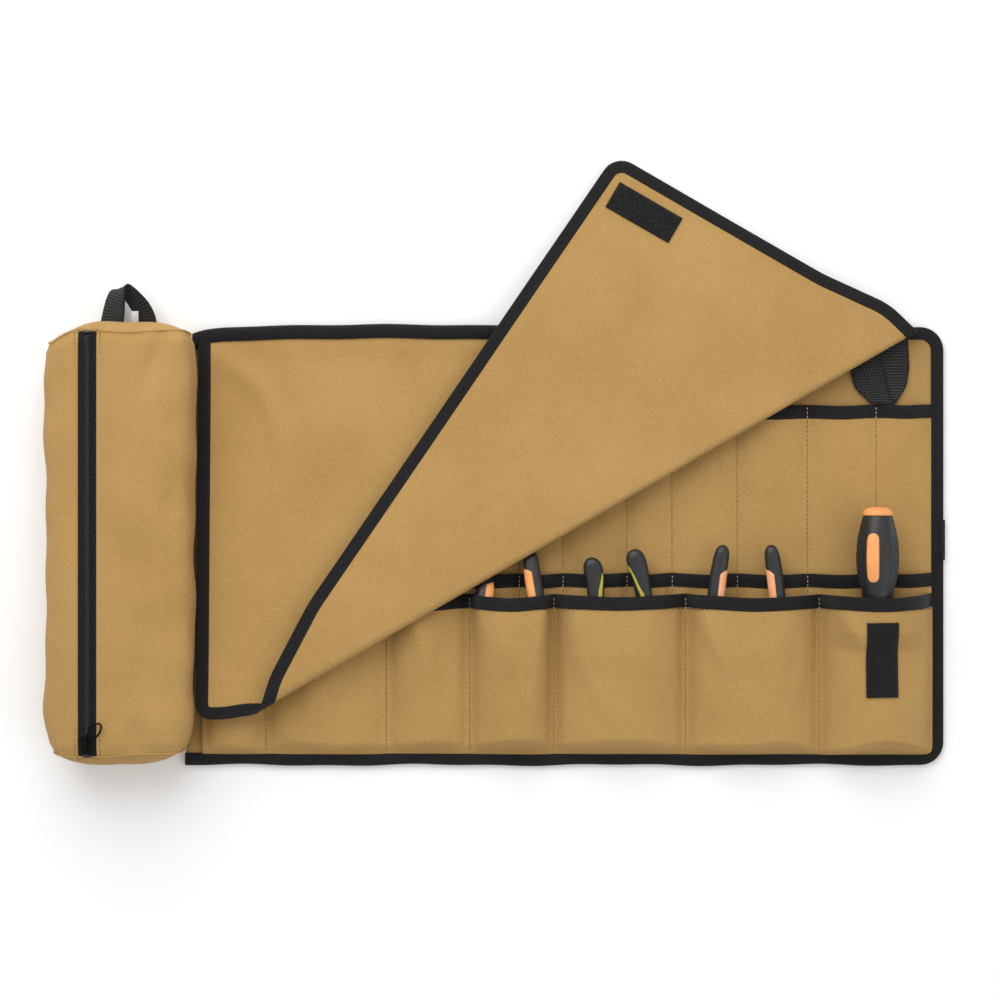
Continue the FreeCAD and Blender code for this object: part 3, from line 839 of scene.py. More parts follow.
def make_loop_tape():
    """Its long side lies along the flap's short edge, on the face that the turned corner shows."""
    corner, edge_end = np.array(FLAT_EDGE[FREE_CORNER:FREE_CORNER + 2])
    edge = unit(edge_end - corner)
    into = np.array([-edge[1], edge[0]])
    low, high = node("hook_tape")
    make_touch_patch("loop_tape", corner + edge * 14.8 + into * 18.0, edge, (high - low)[1::-1], fold, -1, LOOP,
                     "flap_corner")


def make_hinge_tape():
    """The binding that closes round the roll's upper edge and the flap's: the flap turns on it."""
    top = FLAP_HINGE[2] + 2.2
    low = BINDING_THICK + 0.1
    edge = ROLL_HIGH[1] + 1.0
    arc = [(edge - 3.2 + 3.2 * math.cos(a), (top + low) / 2 + (top - low) / 2 * math.sin(a))
           for a in np.linspace(-math.pi / 2, math.pi / 2, 9)]
    line = np.array([(edge - BINDING_WIDTH - 1, low)] + arc + [(edge - BINDING_WIDTH - 1, top)])
    upper, under = band_faces(line)
    section = np.concatenate([upper, under[::-1]])
    xs = np.arange(ROLL_LOW[0] + 0.5, FLAT_EDGE[-1][0] - 17.0, 3.0)
    wobble = 0.5 * np.sin(xs / 31.0) + 0.35 * np.sin(xs / 12.0 + 1) - top_droop(xs, edge)
    tape = swept("flap_hinge_binding", xyz(xs[:, None], section[:, 0] + wobble[:, None], section[:, 1]), TAPE)
    blend_piece(tape, ("roll", "flap"), (0, 0, (low + 0.6) * MM), (0, 0, (top - 0.6) * MM), "binding_tape")


def band_faces(line, half=0.45):
    """A thin band's two faces, either side of a line in its cross-section."""
    out = -turned_left(unit(np.gradient(line, axis=0)))
    return line + out * half, line - out * half


# ---- the zipped case ----
CASE_LOW, CASE_HIGH = node("case_left_gusset")[0], node("case_right_gusset")[1]
CASE_MIDDLE_X = (CASE_LOW[0] + CASE_HIGH[0]) / 2 + 4.0
CASE_TOP = node("case_front_panel")[1][2]
CASE_FLOOR = node("case_back")[0][2]
CASE_END_LOW = node("case_lower_end")[0][1]
CASE_END_HIGH = node("case_upper_end")[1][1]
CASE_SEAM_LOW = CASE_END_LOW + 9.0
CASE_SEAM_HIGH = CASE_END_HIGH - 9.5
CASE_WALL = 1.2
FRONT_FROM = 40.0            # the case's cloth above this height belongs to its front
ZIP_X = sum(node("zip_coil"))[0] / 2
COIL_TOP = node("zip_coil")[1][2]
ZIP_SLOT = 14.5
ZIP_TAPE_INSET = 0.9
SEAM_ROLL = 0.7


def corner_power(value, power):
    return np.sign(value) * np.abs(value) ** (2 / power)


def case_outline(y, count=240):
    """The case's closed outline in XZ at y from the zip's middle: x, z, their normals, and the girth."""
    upper_end = ease((y - CASE_END_HIGH + 48) / 42)
    lower_end = ease((CASE_END_LOW + 46 - y) / 44)
    pinched = 2.2 * max(ease((y - CASE_SEAM_HIGH + 9) / 9), ease((CASE_SEAM_LOW + 9 - y) / 9))
    left = CASE_MIDDLE_X - CASE_LOW[0] - 4.5 - 1.5 * upper_end - 6.5 * lower_end - pinched
    right = CASE_HIGH[0] - CASE_MIDDLE_X + 8.0 - 4.0 * upper_end - 8.0 * lower_end - pinched
    half = (CASE_TOP - pinched - CASE_FLOOR - CASE_WALL) / 2
    middle = CASE_FLOOR + CASE_WALL / 2 + half
    a = np.linspace(0, 2 * math.pi, 721)
    cosine, sine = corner_power(np.cos(a), 4.0), corner_power(np.sin(a), 4.6)
    x = CASE_MIDDLE_X + np.where(cosine > 0, right, left) * cosine
    z = middle + half * sine
    at = distance_along(np.stack([x, z], axis=1))
    by_zip = np.flatnonzero((z > middle) & (np.abs(x - ZIP_X) < 4))
    order = by_zip[np.argsort(x[by_zip])]
    start = np.interp(ZIP_X, x[order], at[order])
    s = (start - np.linspace(0, at[-1], count, endpoint=False)) % at[-1]
    px, pz = np.interp(s, at, x), np.interp(s, at, z)
    dx, dz = np.roll(px, -1) - np.roll(px, 1), np.roll(pz, -1) - np.roll(pz, 1)
    size = np.hypot(dx, dz)
    return px, pz, -dz / size, dx / size, at[-1]


def case_point(y, run, depth):
    """Points at a run of the outline (mm clockwise from the zip's middle) and a depth below its surface."""
    *outline, girth = case_outline(y)
    count = len(outline[0])
    s = (np.asarray(run, float) % girth) / girth * count
    px, pz, nx, nz = (np.interp(s, np.arange(count + 1), np.append(v, v[0])) for v in outline)
    return xyz(px - nx * depth, y, pz - nz * depth), xyz(nx, 0.0, nz)


def case_slack(points, normals):
    """Moves the case's cloth in and out: puckers at the end seams, long swells, a dent and two folds."""
    x, y, z = points[..., 0], points[..., 1], points[..., 2]
    front = z > FRONT_FROM
    girth = x * 0.9 + z * 0.8
    near_low = np.exp(-(y - CASE_SEAM_LOW).clip(0) / 20)
    near_high = np.exp(-(CASE_SEAM_HIGH - y).clip(0) / 24)
    pucker = (np.sin(girth / 3.9 + 1.5 * np.sin(girth / 17)) * near_low * 0.9
              + np.sin(girth / 5.1 + 1.2 * np.sin(girth / 13)) * near_high * 0.8)
    swell = 1.5 * lumps(y, girth * 1.4, 41, 120) + 0.8 * lumps(y, girth, 42, 45)
    dent = -5.5 * bell((x + 338) / 9) * bell((y + 148) / 15) * front
    left_fold = -2.4 * bell((x - y * 0.45 + 388) / 7) * ease((y - 95) / 45) * front
    right_fold = -2.2 * bell((x + y * 0.3 + 357) / 9) * ease((y - 110) / 35) * front
    tilt = 3.5 * ease((x - CASE_MIDDLE_X) / 50) - 7.0 * ease((ZIP_X - 9 - x) / 26)
    tilt = tilt * bell((CASE_SEAM_HIGH - y) / 34) * ease((z - CASE_FLOOR) / 50)
    amount = (pucker + swell + dent + left_fold + right_fold) * case_freedom(x, z)
    return points + xyz(0.0, tilt, 0.0) + normals * amount[..., None]


def case_freedom(x, z):
    """How freely the case's cloth moves: not at all beside the zip and where it rests on the floor."""
    return (1 - bell((x - ZIP_X) / 26) * (z > FRONT_FROM)) * ease((z - CASE_FLOOR - 1) / 14)


def case_girth_runs(y, count):
    return np.linspace(0, case_outline(y)[-1], count, endpoint=False)


def simulated_offsets():
    """Fills the case like a cloth balloon and returns how each point of it moved."""
    frames = 20
    rings = [case_point(y, case_girth_runs(y, 72), 2.0)[0] for y in spaced(CASE_SEAM_LOW, CASE_SEAM_HIGH, 6.0)]
    balloon = swept("case_balloon", np.array(rings), CANVAS)
    bpy.context.view_layer.objects.active = balloon

    def as_it_is():
        return bpy.data.meshes.new_from_object(balloon.evaluated_get(bpy.context.evaluated_depsgraph_get()))

    def places(mesh):
        return np.array([v.co for v in mesh.vertices]) / MM
    remesh = balloon.modifiers.new("remesh", "REMESH")
    remesh.mode = "VOXEL"
    remesh.voxel_size = 5 * MM
    even = as_it_is()
    balloon.modifiers.clear()
    balloon.data = even
    before = places(even)
    cloth = balloon.modifiers.new("cloth", "CLOTH").settings
    cloth.use_pressure = True
    cloth.uniform_pressure_force = 4.0
    cloth.effector_weights.gravity = 0.0
    cloth.quality = 5
    cloth.mass = 0.3
    cloth.bending_stiffness = 2.0
    cloth.shrink_min = 0.02
    for number in range(1, frames + 1):
        bpy.context.scene.frame_set(number)
    after = places(as_it_is())
    bpy.data.objects.remove(balloon)
    bpy.context.scene.frame_set(1)
    return before, after - before


def make_settle():
    """The simulated slack as a function that moves points, at most a few millimetres."""
    limit = 3.0
    before, offsets = simulated_offsets()
    offsets = offsets - offsets.mean(axis=0)
    tree = KDTree(len(before))
    for i, point in enumerate(before):
        tree.insert(point, i)
    tree.balance()

    def settle(points):
        result = points.reshape(-1, 3).copy()
        for point in result:
            near = tree.find_n(point, 6)
            weights = np.array([1 / (d + 1.0) for _, _, d in near])
            move = sum(w * offsets[k] for w, (_, k, _) in zip(weights, near)) / weights.sum()
            point += move * case_freedom(point[0], point[2]) * min(1.0, limit / max(np.linalg.norm(move), 1e-6))
        return result.reshape(points.shape)
    return settle


def make_case():
    settle = make_settle()
    ys = np.concatenate([spaced(CASE_SEAM_LOW, CASE_SEAM_LOW + 24),
                         spaced(CASE_SEAM_LOW + 24, CASE_SEAM_HIGH - 24, 4.0)[1:-1],
                         spaced(CASE_SEAM_HIGH - 24, CASE_SEAM_HIGH)])
    half = ZIP_SLOT / 2
    shares = np.concatenate([[half, half + 0.8], np.linspace(half + 2.4, 330, 131)]) - half
    shares = shares / shares[-1]

    def rows(depth):
        made = []
        for y in ys:
            free = case_outline(y)[-1] - ZIP_SLOT
            edge = free * np.minimum(shares, 1 - shares)
            folded = 0.5 * np.exp(-edge / 1.6) * (1 if depth == 0 else -1)
            made.append(case_slack(*case_point(y, half + free * shares, depth - folded)))
        return settle(np.array(made))
    body = thick_sheet("case_canvas", rows(0.0), rows(CASE_WALL), CANVAS)
    finish_piece(body, "case", "canvas", "case_front_panel", "case_zip_facing", "case_left_gusset",
                 "case_right_gusset", "case_back")
    flat_width = case_outline(0.0)[-1] - ZIP_SLOT
    make_case_end("upper", CASE_SEAM_HIGH, CASE_END_HIGH, settle)
    make_case_end("lower", CASE_SEAM_LOW, CASE_END_LOW, settle)
    lines = [np.array([case_slack(*case_point(y, np.array([side]), -0.2))[0]
                       for y in spaced(CASE_SEAM_LOW + 1, CASE_SEAM_HIGH - 1, 4.0)])
             for side in (half + 2.6, -half - 2.6)]
    # these stitches through canvas take the cream thread darkened with painted shade
    sew("case_zip_stitches", lines, SHADED_CREAM_THREAD, "case", "canvas")


def make_case_end(name, seam, outermost, settle):
    """An end panel: domed out past its seam, with the seam's rolled edge round it."""
    count = 132
    out = math.copysign(1.0, outermost - seam)
    reach = abs(outermost - seam) - 1.0
    base = settle(case_slack(*case_point(seam, case_girth_runs(seam, count), 0.0)))
    centre = base.mean(axis=0)
    shares = np.concatenate([np.linspace(1.0, 0.7, 10), np.linspace(0.64, 0.06, 10)])
    gathers = 2.1 * np.sin(circle(count) * 17)

    def rings(depth):
        made = []
        for share in shares:
            ring = centre + (base - centre) * share
            dome = reach * (1 - share ** 3.2)
            crumple = 0.8 * lumps(ring[:, 0], ring[:, 2], 51 if out > 0 else 52, 34)
            crumple = (crumple + gathers * ease((share - 0.6) / 0.3)) * (1 - share)
            ring[:, 1] = seam + (base[:, 1] - seam) * share ** 2 + out * (dome + crumple - depth)
            ring[:, 2] = np.maximum(ring[:, 2], CASE_FLOOR + 0.1)
            made.append(ring)
        return np.array(made)
    outer, inner = rings(0.0), rings(CASE_WALL)[::-1]
    tips = [outer[-1].mean(axis=0), inner[0].mean(axis=0)]
    points = np.concatenate([outer.reshape(-1, 3), inner.reshape(-1, 3), tips])
    half = outer.size // 3
    tip = 2 * half
    faces = grid_faces(len(outer), count, close_columns=True)
    faces += grid_faces(len(inner), count, start=half, close_columns=True)
    for j in range(count):
        k = (j + 1) % count
        faces.append((half - count + j, half - count + k, tip))
        faces.append((half + k, half + j, tip + 1))
        faces.append((j, tip - count + j, tip - count + k, k))
    end = mesh_object(f"case_{name}_end_canvas", points, faces, CANVAS)
    finish_piece(end, "case", "canvas", f"case_{name}_end")

    radial = unit(base - centre)
    lift = 0.05 + 0.2 * np.sin(circle(count) * 11)
    up = np.array([0, out * SEAM_ROLL, 0])
    rolled = rings_about(base + radial * lift[:, None], radial * SEAM_ROLL, up, 8)
    rolled[..., 2] = np.maximum(rolled[..., 2], CASE_FLOOR - 0.4)
    finish_piece(swept(f"case_{name}_seam", rolled, CANVAS, closed=True), "case", "canvas")
    return end


# ---- the zip ----
def make_zip():
    ys = spaced(CASE_SEAM_LOW - 1, CASE_SEAM_HIGH + 1, 3.0)
    for side, name in ((1, "right"), (-1, "left")):
        runs = np.linspace(1.0, ZIP_SLOT / 2 + 1.2, 8) * side
        faces = [np.array([case_point(y, runs, ZIP_TAPE_INSET + depth)[0] for y in ys]) for depth in (0.0, 0.7)]
        tape = thick_sheet(f"zip_{name}_woven_tape", *faces[::side], ZIP_TAPE)
        finish_piece(tape, "case", "zip_tape", f"zip_tape_{name}")

    pitch = 1.9
    low, high = CASE_SEAM_LOW + 2.5, CASE_SEAM_HIGH - 2.5
    places = [(k, side) for k in range(int((high - low) / pitch)) for side in (-1, 1)]
    centres = [(ZIP_X + side * 1.15, low + (k + 0.5 + 0.25 * side) * pitch, COIL_TOP - 0.75)
               for k, side in places]
    along = [(side, 0.10, -0.16) for _, side in places]
    teeth = capsules("zip_teeth", centres, along, 3.5, 0.68, COIL, 1.0)
    finish_piece(teeth, "case", "zip_coil", "zip_coil")
    rails = [xyz(ZIP_X + side, ys[1:-1], COIL_TOP - 1.15) for side in (-3.3, 3.3)]
    sew("zip_coil_stitches", rails, BLACK_THREAD, "case", "zip_tape", 1.6, 0.5, 0.3)
    stops = [(ZIP_X, end, COIL_TOP - 0.8) for end in (low - 0.9, high + 0.9)]
    bars = capsules("zip_end_bars", stops, [(1, 0, 0)] * 2, 7.0, 1.3, COIL, 0.7, 10)
    finish_piece(bars, "case", "zip_coil", "zip_end_stops")


def make_slider():
    """A cast slider: a waisted plate with rolled flanges and a bridge that holds the pull."""
    low, high = node("zip_slider")
    x, y, _ = (low + high) / 2
    foot_z = low[2]
    right_side = [(4.3, -6.6), (4.0, -1.0), (5.6, 4.2), (4.4, 6.4), (1.3, 7.1)]
    outline = [(-4.3, -6.6)] + right_side + [(-a, b) for a, b in right_side[:0:-1]]
    path, _ = rounded_path(outline, [1.2] * len(outline), 0.7)
    levels = [(0.0, 0.90), (0.25, 0.98), (0.8, 1.0), (1.2, 0.95), (1.45, 0.80), (1.5, 0.5)]
    rings = [xyz(x + path[:, 0] * share, y + path[:, 1] * share, foot_z + z) for z, share in levels]
    finish_piece(swept("zip_slider_body", np.array(rings), ZIP_METAL), "zip_slider", "zip_metal", "zip_slider")

    a = np.linspace(-0.15, math.pi + 0.15, 15)
    centres = xyz(x, y - 3.4 * np.cos(a), foot_z + 1.3 + 3.6 * np.sin(a))
    bridge = rings_about(centres, np.array([1.125, 0, 0]), 0.55 * xyz(0, -np.cos(a), np.sin(a)), 10)
    finish_piece(swept("zip_slider_bridge", bridge, ZIP_METAL), "zip_slider", "zip_metal")
    make_pull(x + 0.6, y + 3.4)


def make_pull(x, y):
    """The wire pull: a stem from the bridge, opening into a loop that leans to the right."""
    wire = 0.8
    lean = math.radians(52)
    a = circle(40)
    reach = 8.4 - 8.0 * np.cos(a)
    width = np.where(reach > 8, 3.9, 2.5 + 0.17 * reach) * np.sin(a)
    loop = xyz(x + reach * math.cos(lean) - width * math.sin(lean),
               y + reach * math.sin(lean) + width * math.cos(lean), node("zip_pull")[1][2] - 0.9)
    heading = unit(np.roll(loop, -1, axis=0) - np.roll(loop, 1, axis=0))
    rings = rings_about(loop, wire * np.cross(heading, [0, 0, 1.0]), np.array([0, 0, wire]), 10)
    finish_piece(swept("zip_pull_wire", rings, ZIP_METAL, closed=True), "zip_pull", "zip_metal", "zip_pull")


# ---- webbing loops, strap and label ----
WEBBING_WIDTH = 25.0
WEBBING_THICK = 1.4
DOT_ALONG = 2.3              # spacing of the webbing's raised threads
DOT_ACROSS = 1.75


def webbing(name, points, thickness=WEBBING_THICK):
    """A band of webbing through a grid of points (along, across), with its raised threads on both faces."""
    normals = np.cross(np.gradient(points, axis=1), np.gradient(points, axis=0))
    normals /= np.maximum(np.linalg.norm(normals, axis=-1, keepdims=True), 1e-9)
    half = thickness / 2
    band = thick_sheet(name, points + normals * half, points - normals * half, WEBBING)
    length = distance_along(points[:, points.shape[1] // 2])[-1]
    width = distance_along(points[0])[-1]
    rows, columns = points.shape[:2]
    centres, along = [], []
    for i in range(1, int(length / DOT_ALONG)):
        for j in range(1, int(width / DOT_ACROSS)):
            r = i * DOT_ALONG / length * (rows - 1)
            c = (j + 0.5 * (i % 2)) * DOT_ACROSS / width * (columns - 1)
            if c > columns - 1.3:
                continue
            i0, j0 = min(int(r), rows - 2), min(int(c), columns - 2)
            u, v = r - i0, c - j0
            here = ((points[i0, j0] * (1 - v) + points[i0, j0 + 1] * v) * (1 - u)
                    + (points[i0 + 1, j0] * (1 - v) + points[i0 + 1, j0 + 1] * v) * u)
            for face in (1, -1):
                centres.append(here + normals[i0, j0] * (half * face))
                along.append(points[i0, j0 + 1] - points[i0, j0])
    return band, capsules(f"{name}_threads", centres, along, 1.15, 0.36, WEBBING_DOTS)


def lobe(left, right, lift, crown, count=34, across=15):
    """A flattened lobe of webbing between a left and a right edge, crowned and lying on the pockets."""
    a, b = smooth_rows(left, count), smooth_rows(right, count)
    s = np.linspace(0, 1, across)
    t = np.linspace(0, 1, count)[:, None]
    plan = a[:, None] * (1 - s[:, None]) + b[:, None] * s[:, None]
    x, y = plan[..., 0], plan[..., 1]
    bed = np.where(y > UPPER_MOUTH, BINDING_THICK - 0.6, upper_height(x, np.minimum(y, UPPER_MOUTH)) + 1.6)
    swell = crown * np.sin(math.pi * s) * np.sin(math.pi * (0.15 + 0.8 * t)) ** 0.7
    return xyz(x, y, np.maximum(bed, 2.6) + lift * t + swell)


def make_right_loop():
    fold_line = [(249, 171), (249.6, 149), (253.5, 128), (258.5, 113.5)]
    right_edge = [(271, 171), (272.4, 142), (270, 127.5), (262, 115)]
    left_edge = [(232, 171), (224, 147), (228.5, 126), (241, 114)]
    overlap = [(251, 171), (251.6, 149), (255.5, 128), (260.5, 112.5)]
    bands = {"near": lobe(fold_line, right_edge, 0.4, 1.4), "far": lobe(left_edge, overlap, 1.5, 1.5)}
    for name, points in bands.items():
        for piece, replaced in zip(webbing(f"right_loop_{name}_band", points), (["right_hang_loop"], [])):
            blend_piece(piece, ("roll", "right_loop"), (0, 0.166, 0), (0, 0.150, 0), "webbing", *replaced)


def make_left_loop():
    """The loop stands out of the case's end seam, leaning over at its top where the webbing turns back."""
    # x, y, z of the middle, then the direction of the width
    rows = [(-363, 176, 13, 0.88, 0.0, 0.45), (-361.5, 184, 13.5, 0.84, -0.12, 0.5),
            (-360, 193, 14, 0.76, -0.25, 0.58), (-358, 201.5, 14.5, 0.62, -0.25, 0.72),
            (-355, 206, 14.5, 0.42, 0.10, 0.9), (-351, 203, 14, 0.32, 0.42, 0.84),
            (-346, 197.5, 13.5, 0.42, 0.45, 0.78), (-340.5, 191, 13, 0.62, 0.32, 0.7),
            (-337, 184, 12.5, 0.8, 0.1, 0.6), (-336, 176, 12.5, 0.88, 0.0, 0.45)]
    made = smooth_rows(rows, 44, 4)
    across = 0.86 * np.linspace(-WEBBING_WIDTH / 2, WEBBING_WIDTH / 2, 15)
    points = made[:, None, :3] + unit(made[:, 3:])[:, None] * across[None, :, None]
    points[..., 2] = np.maximum(points[..., 2], CASE_FLOOR + 0.6)
    for piece, replaced in zip(webbing("left_loop_band", points), (["left_hang_loop"], [])):
        blend_piece(piece, ("case", "left_loop"), (0, 0.179, 0), (0, 0.189, 0), "webbing", *replaced)


def make_label():
    low, high = node("care_label")
    x, y = np.meshgrid(np.linspace(low[0] + 1, high[0] + 1, 7), np.linspace(low[1] - 3, high[1] + 0.5, 14))
    middle = xyz(x, y, low[2] + 12.0 + 1.6 * np.sin((y - low[1]) / 5) + 0.12 * (x - low[0]))
    label = thick_sheet("blank_care_label", middle + [0, 0, 0.2], middle - [0, 0, 0.2], LABEL)
    finish_piece(label, "case", "label", "care_label")


def make_strap():
    low, high = node("closing_strap")
    tip_low, tip_high = node("closing_strap_tip")
    x, y = np.meshgrid(spaced(low[0], high[0], 4.0), np.linspace(low[1], high[1], 15), indexing="ij")
    band, dots = webbing("closing_strap_webbing", xyz(x, y, (low[2] + high[2]) / 2), high[2] - low[2] - 0.2)
    finish_piece(band, "strap", "webbing", "closing_strap")
    finish_piece(dots, "strap", "webbing")
    x, y = np.meshgrid(spaced(tip_low[0], tip_high[0] + 22, 1.0), spaced(low[1] + 0.8, high[1] - 0.8, 1.0))
    patch = thick_sheet("closing_strap_touch_tape", xyz(x, y, tip_low[2] + 0.7), xyz(x, y, tip_low[2] + 0.1),
                        LOOP)
    finish_piece(patch, "strap", "webbing", "closing_strap_tip")
    bar = xyz(tip_high[0] - 2.2, np.linspace(low[1] + 2, high[1] - 2, 9), tip_low[2] + 0.3)
    sew("closing_strap_stitches", [bar], BLACK_THREAD, "strap", "webbing")

    # the folded end of the strap, stitched round the roll's right edge
    edge = ROLL_HIGH[0]
    middle = (low[1] + high[1]) / 2
    bend = np.linspace(-1.35, math.pi / 2, 9)
    arc = [(edge - 0.4 + 1.3 * math.cos(a), 1.55 + 1.9 * math.sin(a)) for a in bend]
    line = np.array([(edge - 1.5, -0.35)] + arc + [(edge - 2.6, BINDING_THICK + 0.35)])
    ys = np.linspace(middle - 16, middle + 16, 17)[:, None]
    upper, under = [xyz(side[:, 0], ys, side[:, 1]) for side in band_faces(line)]
    finish_piece(thick_sheet("strap_end_fold", upper, under, WEBBING), "roll", "webbing")


# ---- the tools ----
GRIP_LOW, GRIP_HIGH = node("pliers_c_grips")
GRIP_Z = (GRIP_LOW[2] + GRIP_HIGH[2]) / 2
GRIP_HALF = (GRIP_HIGH[2] - GRIP_LOW[2]) / 2
INLAY_END = 0.95


def grip_surface(rows):
    """A grip from its tip down: rows of (x, y, half width, middle height, half thickness)."""
    made = smooth_rows(rows, 60, 4)
    side = turned_left(unit(np.gradient(made[:, :2], axis=0)))

    def surface(t, angle, lift=0.0):
        k = np.clip(t, 0, 1) * (len(made) - 1)
        x, y, half, z, thick, sx, sy = (np.interp(k, np.arange(len(made)), column)
                                        for column in np.hstack([made, side]).T)
        reach = (half + lift) * corner_power(np.cos(angle), 2.7)
        return xyz(x + sx * reach, y + sy * reach, z + (thick + lift) * corner_power(np.sin(angle), 2.4))
    return surface


def grip_rows(plan, taper):
    """Adds heights to a grip's plan; the first taper rows thin down, to pass under the flap's fold."""
    rows = []
    for i, (x, y, half) in enumerate(plan):
        thin = max(0, taper - i) / max(taper, 1)
        thick = GRIP_HALF * (1 - 0.55 * thin) * min(1, half / 5.5)
        rows.append((x, y, half, GRIP_Z - 0.15 - 4.6 * thin, thick))
    return rows


def make_grip(tool, side, rows, inlay, material):
    """inlay gives its start, its band of angles, how far the band drifts and how soon it is open."""
    name = f"{tool}_{side}_grip"
    surface = grip_surface(rows)
    tip, tip_share = [0.0, 0.004, 0.012, 0.025], [0.35, 0.62, 0.82, 0.94]
    t = np.concatenate([tip, np.linspace(0.04, 1.0, 66)])
    rings = surface(t[:, None], circle(36)[None, :])
    middle = rings.mean(axis=1, keepdims=True)
    rings = middle + (rings - middle) * np.interp(t, tip + [0.04], tip_share + [1.0])[:, None, None]
    finish_piece(swept(name, rings, GRIP_BLACK), tool, "tool_grip", f"{tool}_grips")

    start, low_angle, high_angle, drift, opening_share = inlay
    s, w = np.meshgrid(np.linspace(0, 1, 40), np.linspace(0, 1, 12), indexing="ij")
    at = start + (INLAY_END - start) * s
    opening = np.sqrt(np.clip(s / opening_share, 0, 1))
    width = math.radians(high_angle - low_angle) * opening + 0.02
    angle = math.radians(low_angle) + math.radians(drift) * np.clip(s / 0.35, 0, 1) + width * w
    rim = np.minimum(np.minimum(w, 1 - w) / 0.14, 1) * np.minimum(s / 0.05, 1)
    if side == "right":
        angle = math.pi - angle
    faces = [surface(at, angle, 0.12 + 0.30 * ease(rim)), surface(at, angle, -0.5)]
    if side == "right":
        faces.reverse()
    finish_piece(thick_sheet(f"{name}_inlay", *faces, material), tool, "tool_inlay")


def make_pliers():
    """Each grip: its plan as (x, y, half width) from its tip to the head, its tapering rows and its inlay."""
    head_y = node("pliers_a_head")[1][1]
    plans = {
        "pliers_a": (GRIP_ORANGE, [
            ([(-64.5, -24, 4.0), (-65.3, -29, 6.0), (-66.2, -35, 7.0), (-67, -43, 7.0), (-58, -70, 6),
              (-50.5, head_y, 4.6)], 3, (0.045, 4, 88, 0, 0.05)),
            ([(-30.5, -4, 4.4), (-30, -10, 6.0), (-29, -20, 6.5), (-27, -32, 6.6), (-25, -43, 6.5),
              (-30, -70, 6), (-33.5, head_y, 4.6)], 4, (0.15, 4, 88, 0, 0.05))]),
        "pliers_b": (GRIP_GREEN, [
            ([(17.2, -8.8, 3.6), (18, -13, 7.0), (19.4, -18, 7.8), (20.8, -26, 7.3), (21.2, -34, 6.7),
              (21.5, -43, 6.5), (27, -70, 6), (31.5, head_y, 4.6)], 0, (0.17, 30, 62, 20, 0.2)),
            ([(50.5, -2.5, 4.2), (52, -7, 7.4), (54, -13, 7.9), (56.5, -22, 7.2), (58.5, -33, 6.8),
              (60.5, -43, 6.5), (54, -70, 6), (48.5, head_y, 4.6)], 0, (0.12, 12, 31, 58, 0.05))]),
        "pliers_c": (GRIP_SALMON, [
            ([(122.6, 1.2, 3.2), (122, -3, 5.6), (120.5, -10, 6.3), (118, -25, 6.6), (116, -43, 6.6),
              (124, -70, 6), (132.5, head_y, 4.6)], 0, (0.20, 4, 84, 0, 0.07)),
            ([(160, 1.2, 3.2), (160.3, -3, 5.6), (161.5, -10, 6.2), (163.5, -25, 6.5), (165.5, -43, 6.5),
              (158, -70, 6), (149.5, head_y, 4.6)], 0, (0.20, 4, 84, 0, 0.07))]),
    }
    for tool, (material, grips) in plans.items():
        for side, (plan, taper, inlay) in zip(("left", "right"), grips):
            make_grip(tool, side, grip_rows(plan, taper), inlay, material)
        make_steel(f"{tool}_head", f"{tool}_pivot")


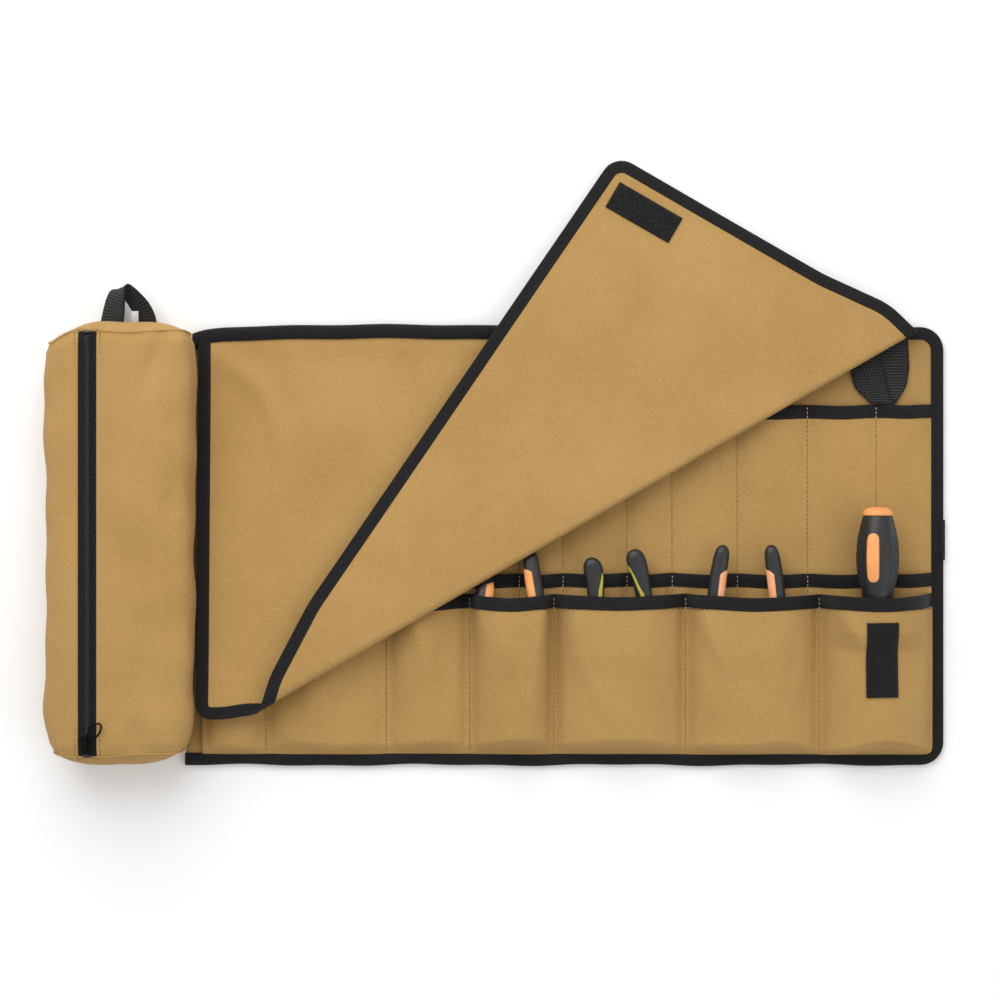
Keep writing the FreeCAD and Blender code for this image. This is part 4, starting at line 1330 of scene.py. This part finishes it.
def make_screwdriver():
    """A swelling handle with six soft facets, an inlay, knurled flanks, a domed cap and a round blade."""
    around = 72
    axis_x, _, axis_z = sum(node("screwdriver_blade")) / 2
    profile = smooth_rows([(24.8, 11.0), (24.2, 11.7), (13, 14.2), (4, 15.8), (-9, 16.5), (-18, 16.0),
                           (-25, 14.9), (-33, 12.9), (-43, 11.4), (-56, 10.4), (-67.5, 9.0), (-68, 7.0)], 80, 3)
    rising = profile[np.argsort(profile[:, 0])]

    def surface(y, angle, lift=0.0):
        radius = np.interp(y, *rising.T)
        swell = ease((radius - 11.4) / 4)
        reach = radius * (1 - 0.028 * swell * np.cos(6 * (angle - math.pi / 2))) + lift
        return xyz(axis_x + reach * np.cos(angle), y, axis_z + reach * np.sin(angle))
    rings = surface(profile[:, :1], circle(around))
    finish_piece(swept("screwdriver_grip", rings, GRIP_BLACK), "screwdriver", "tool_grip", "screwdriver_handle")

    low, high = node("screwdriver_inlay")
    s, w = np.meshgrid(np.linspace(-1, 1, 60), np.linspace(-1, 1, 15), indexing="ij")
    half_y, half_x = (high[1] - low[1]) / 2, 5.1
    y = (high[1] + low[1]) / 2 + s * half_y
    end = np.clip((np.abs(s) * half_y - (half_y - half_x)) / half_x, 0, 1)
    angle = math.pi / 2 + (6.0 - w * half_x * np.sqrt(np.clip(1 - end ** 2, 0.0, 1))) / 15.5
    rim = ease(np.minimum((1 - np.abs(w)) / 0.22, (1 - np.abs(s)) / 0.06))
    strip = thick_sheet("screwdriver_soft_inlay", surface(y, angle, -0.2 + 0.75 * rim), surface(y, angle, -1.2),
                        GRIP_ORANGE)
    finish_piece(strip, "screwdriver", "tool_inlay", "screwdriver_inlay")

    dome_y, dome_r = smooth_rows([(24.6, 11.6), (25.4, 11.8), (27.2, 11.6), (29.0, 10.5), (30.4, 8.4),
                                  (31.2, 4.5), (31.4, 0.4)], 30, 2).T
    rings = rings_about(xyz(axis_x, dome_y, axis_z), xyz(dome_r, 0, 0), xyz(0, 0, dome_r), around)
    cap = swept("screwdriver_end_cap", rings, GRIP_ORANGE)
    finish_piece(cap, "screwdriver", "tool_inlay", "screwdriver_cap")

    knurls = [(7.0 - i * 1.75, math.radians(flank + j * 4.4 + (i % 2) * 2.2))
              for flank in (12, 132, 252) for i in range(22) for j in range(9)]
    centres = surface(*np.array(knurls).T, 0.05)
    knurling = capsules("screwdriver_knurling", centres, [(0, 1, 0)] * len(knurls), 1.0, 0.42, GRIP_BLACK, 1.0)
    finish_piece(knurling, "screwdriver", "tool_grip")
    make_steel("screwdriver_blade")


# ---- floor, light and camera ----
def make_camera():
    data = bpy.data.cameras.new("camera")
    camera = bpy.data.objects.new("camera", data)
    bpy.context.scene.collection.objects.link(camera)
    camera.location = (-0.0544, 0.0368, 1.9)
    data.sensor_width = 36.0
    data.lens = 85.5
    data.clip_end = 20.0
    bpy.context.scene.camera = camera


def area_light(name, place, aim, size, power):
    data = bpy.data.lights.new(name, "AREA")
    data.shape = "DISK"
    data.size = size
    data.energy = power
    light = bpy.data.objects.new(name, data)
    light.location = place
    light.rotation_euler = (Vector(aim) - Vector(place)).to_track_quat("-Z", "Y").to_euler()
    bpy.context.scene.collection.objects.link(light)


def make_stage():
    n = Nodes("floor_white")
    n.ramp(n.noise(3), (0.3, [0.92] * 3), (0.7, [0.95] * 3))
    n.set(Roughness=0.9, Specular_IOR_Level=0.1)
    reach = 3000.0
    low = CAD_BOX[0][2] / MM
    corners = [(-reach, -reach, low), (reach, -reach, low), (reach, reach, low), (-reach, reach, low)]
    mesh_object("floor", corners, [(0, 1, 2, 3)], n.material)

    world = bpy.data.worlds.new("studio")
    bpy.context.scene.world = world
    world.use_nodes = True
    background = world.node_tree.nodes["Background"].inputs
    background["Color"].default_value = (1, 1, 1, 1)
    background["Strength"].default_value = 0.72
    area_light("key", (-0.5, 1.4, 1.35), (0, 0.1, 0), 2.2, 30)
    area_light("fill", (1.3, -0.5, 1.7), (0, 0, 0), 1.6, 5)
    bpy.context.scene.view_settings.view_transform = "Standard"


make_camera()
make_stage()
make_back()
make_edge_binding()
make_pockets()
make_hook_tape()
make_flap()
make_loop_tape()
make_hinge_tape()
make_case()
make_zip()
make_slider()
make_right_loop()
make_left_loop()
make_label()
make_strap()
make_pliers()
make_screwdriver()
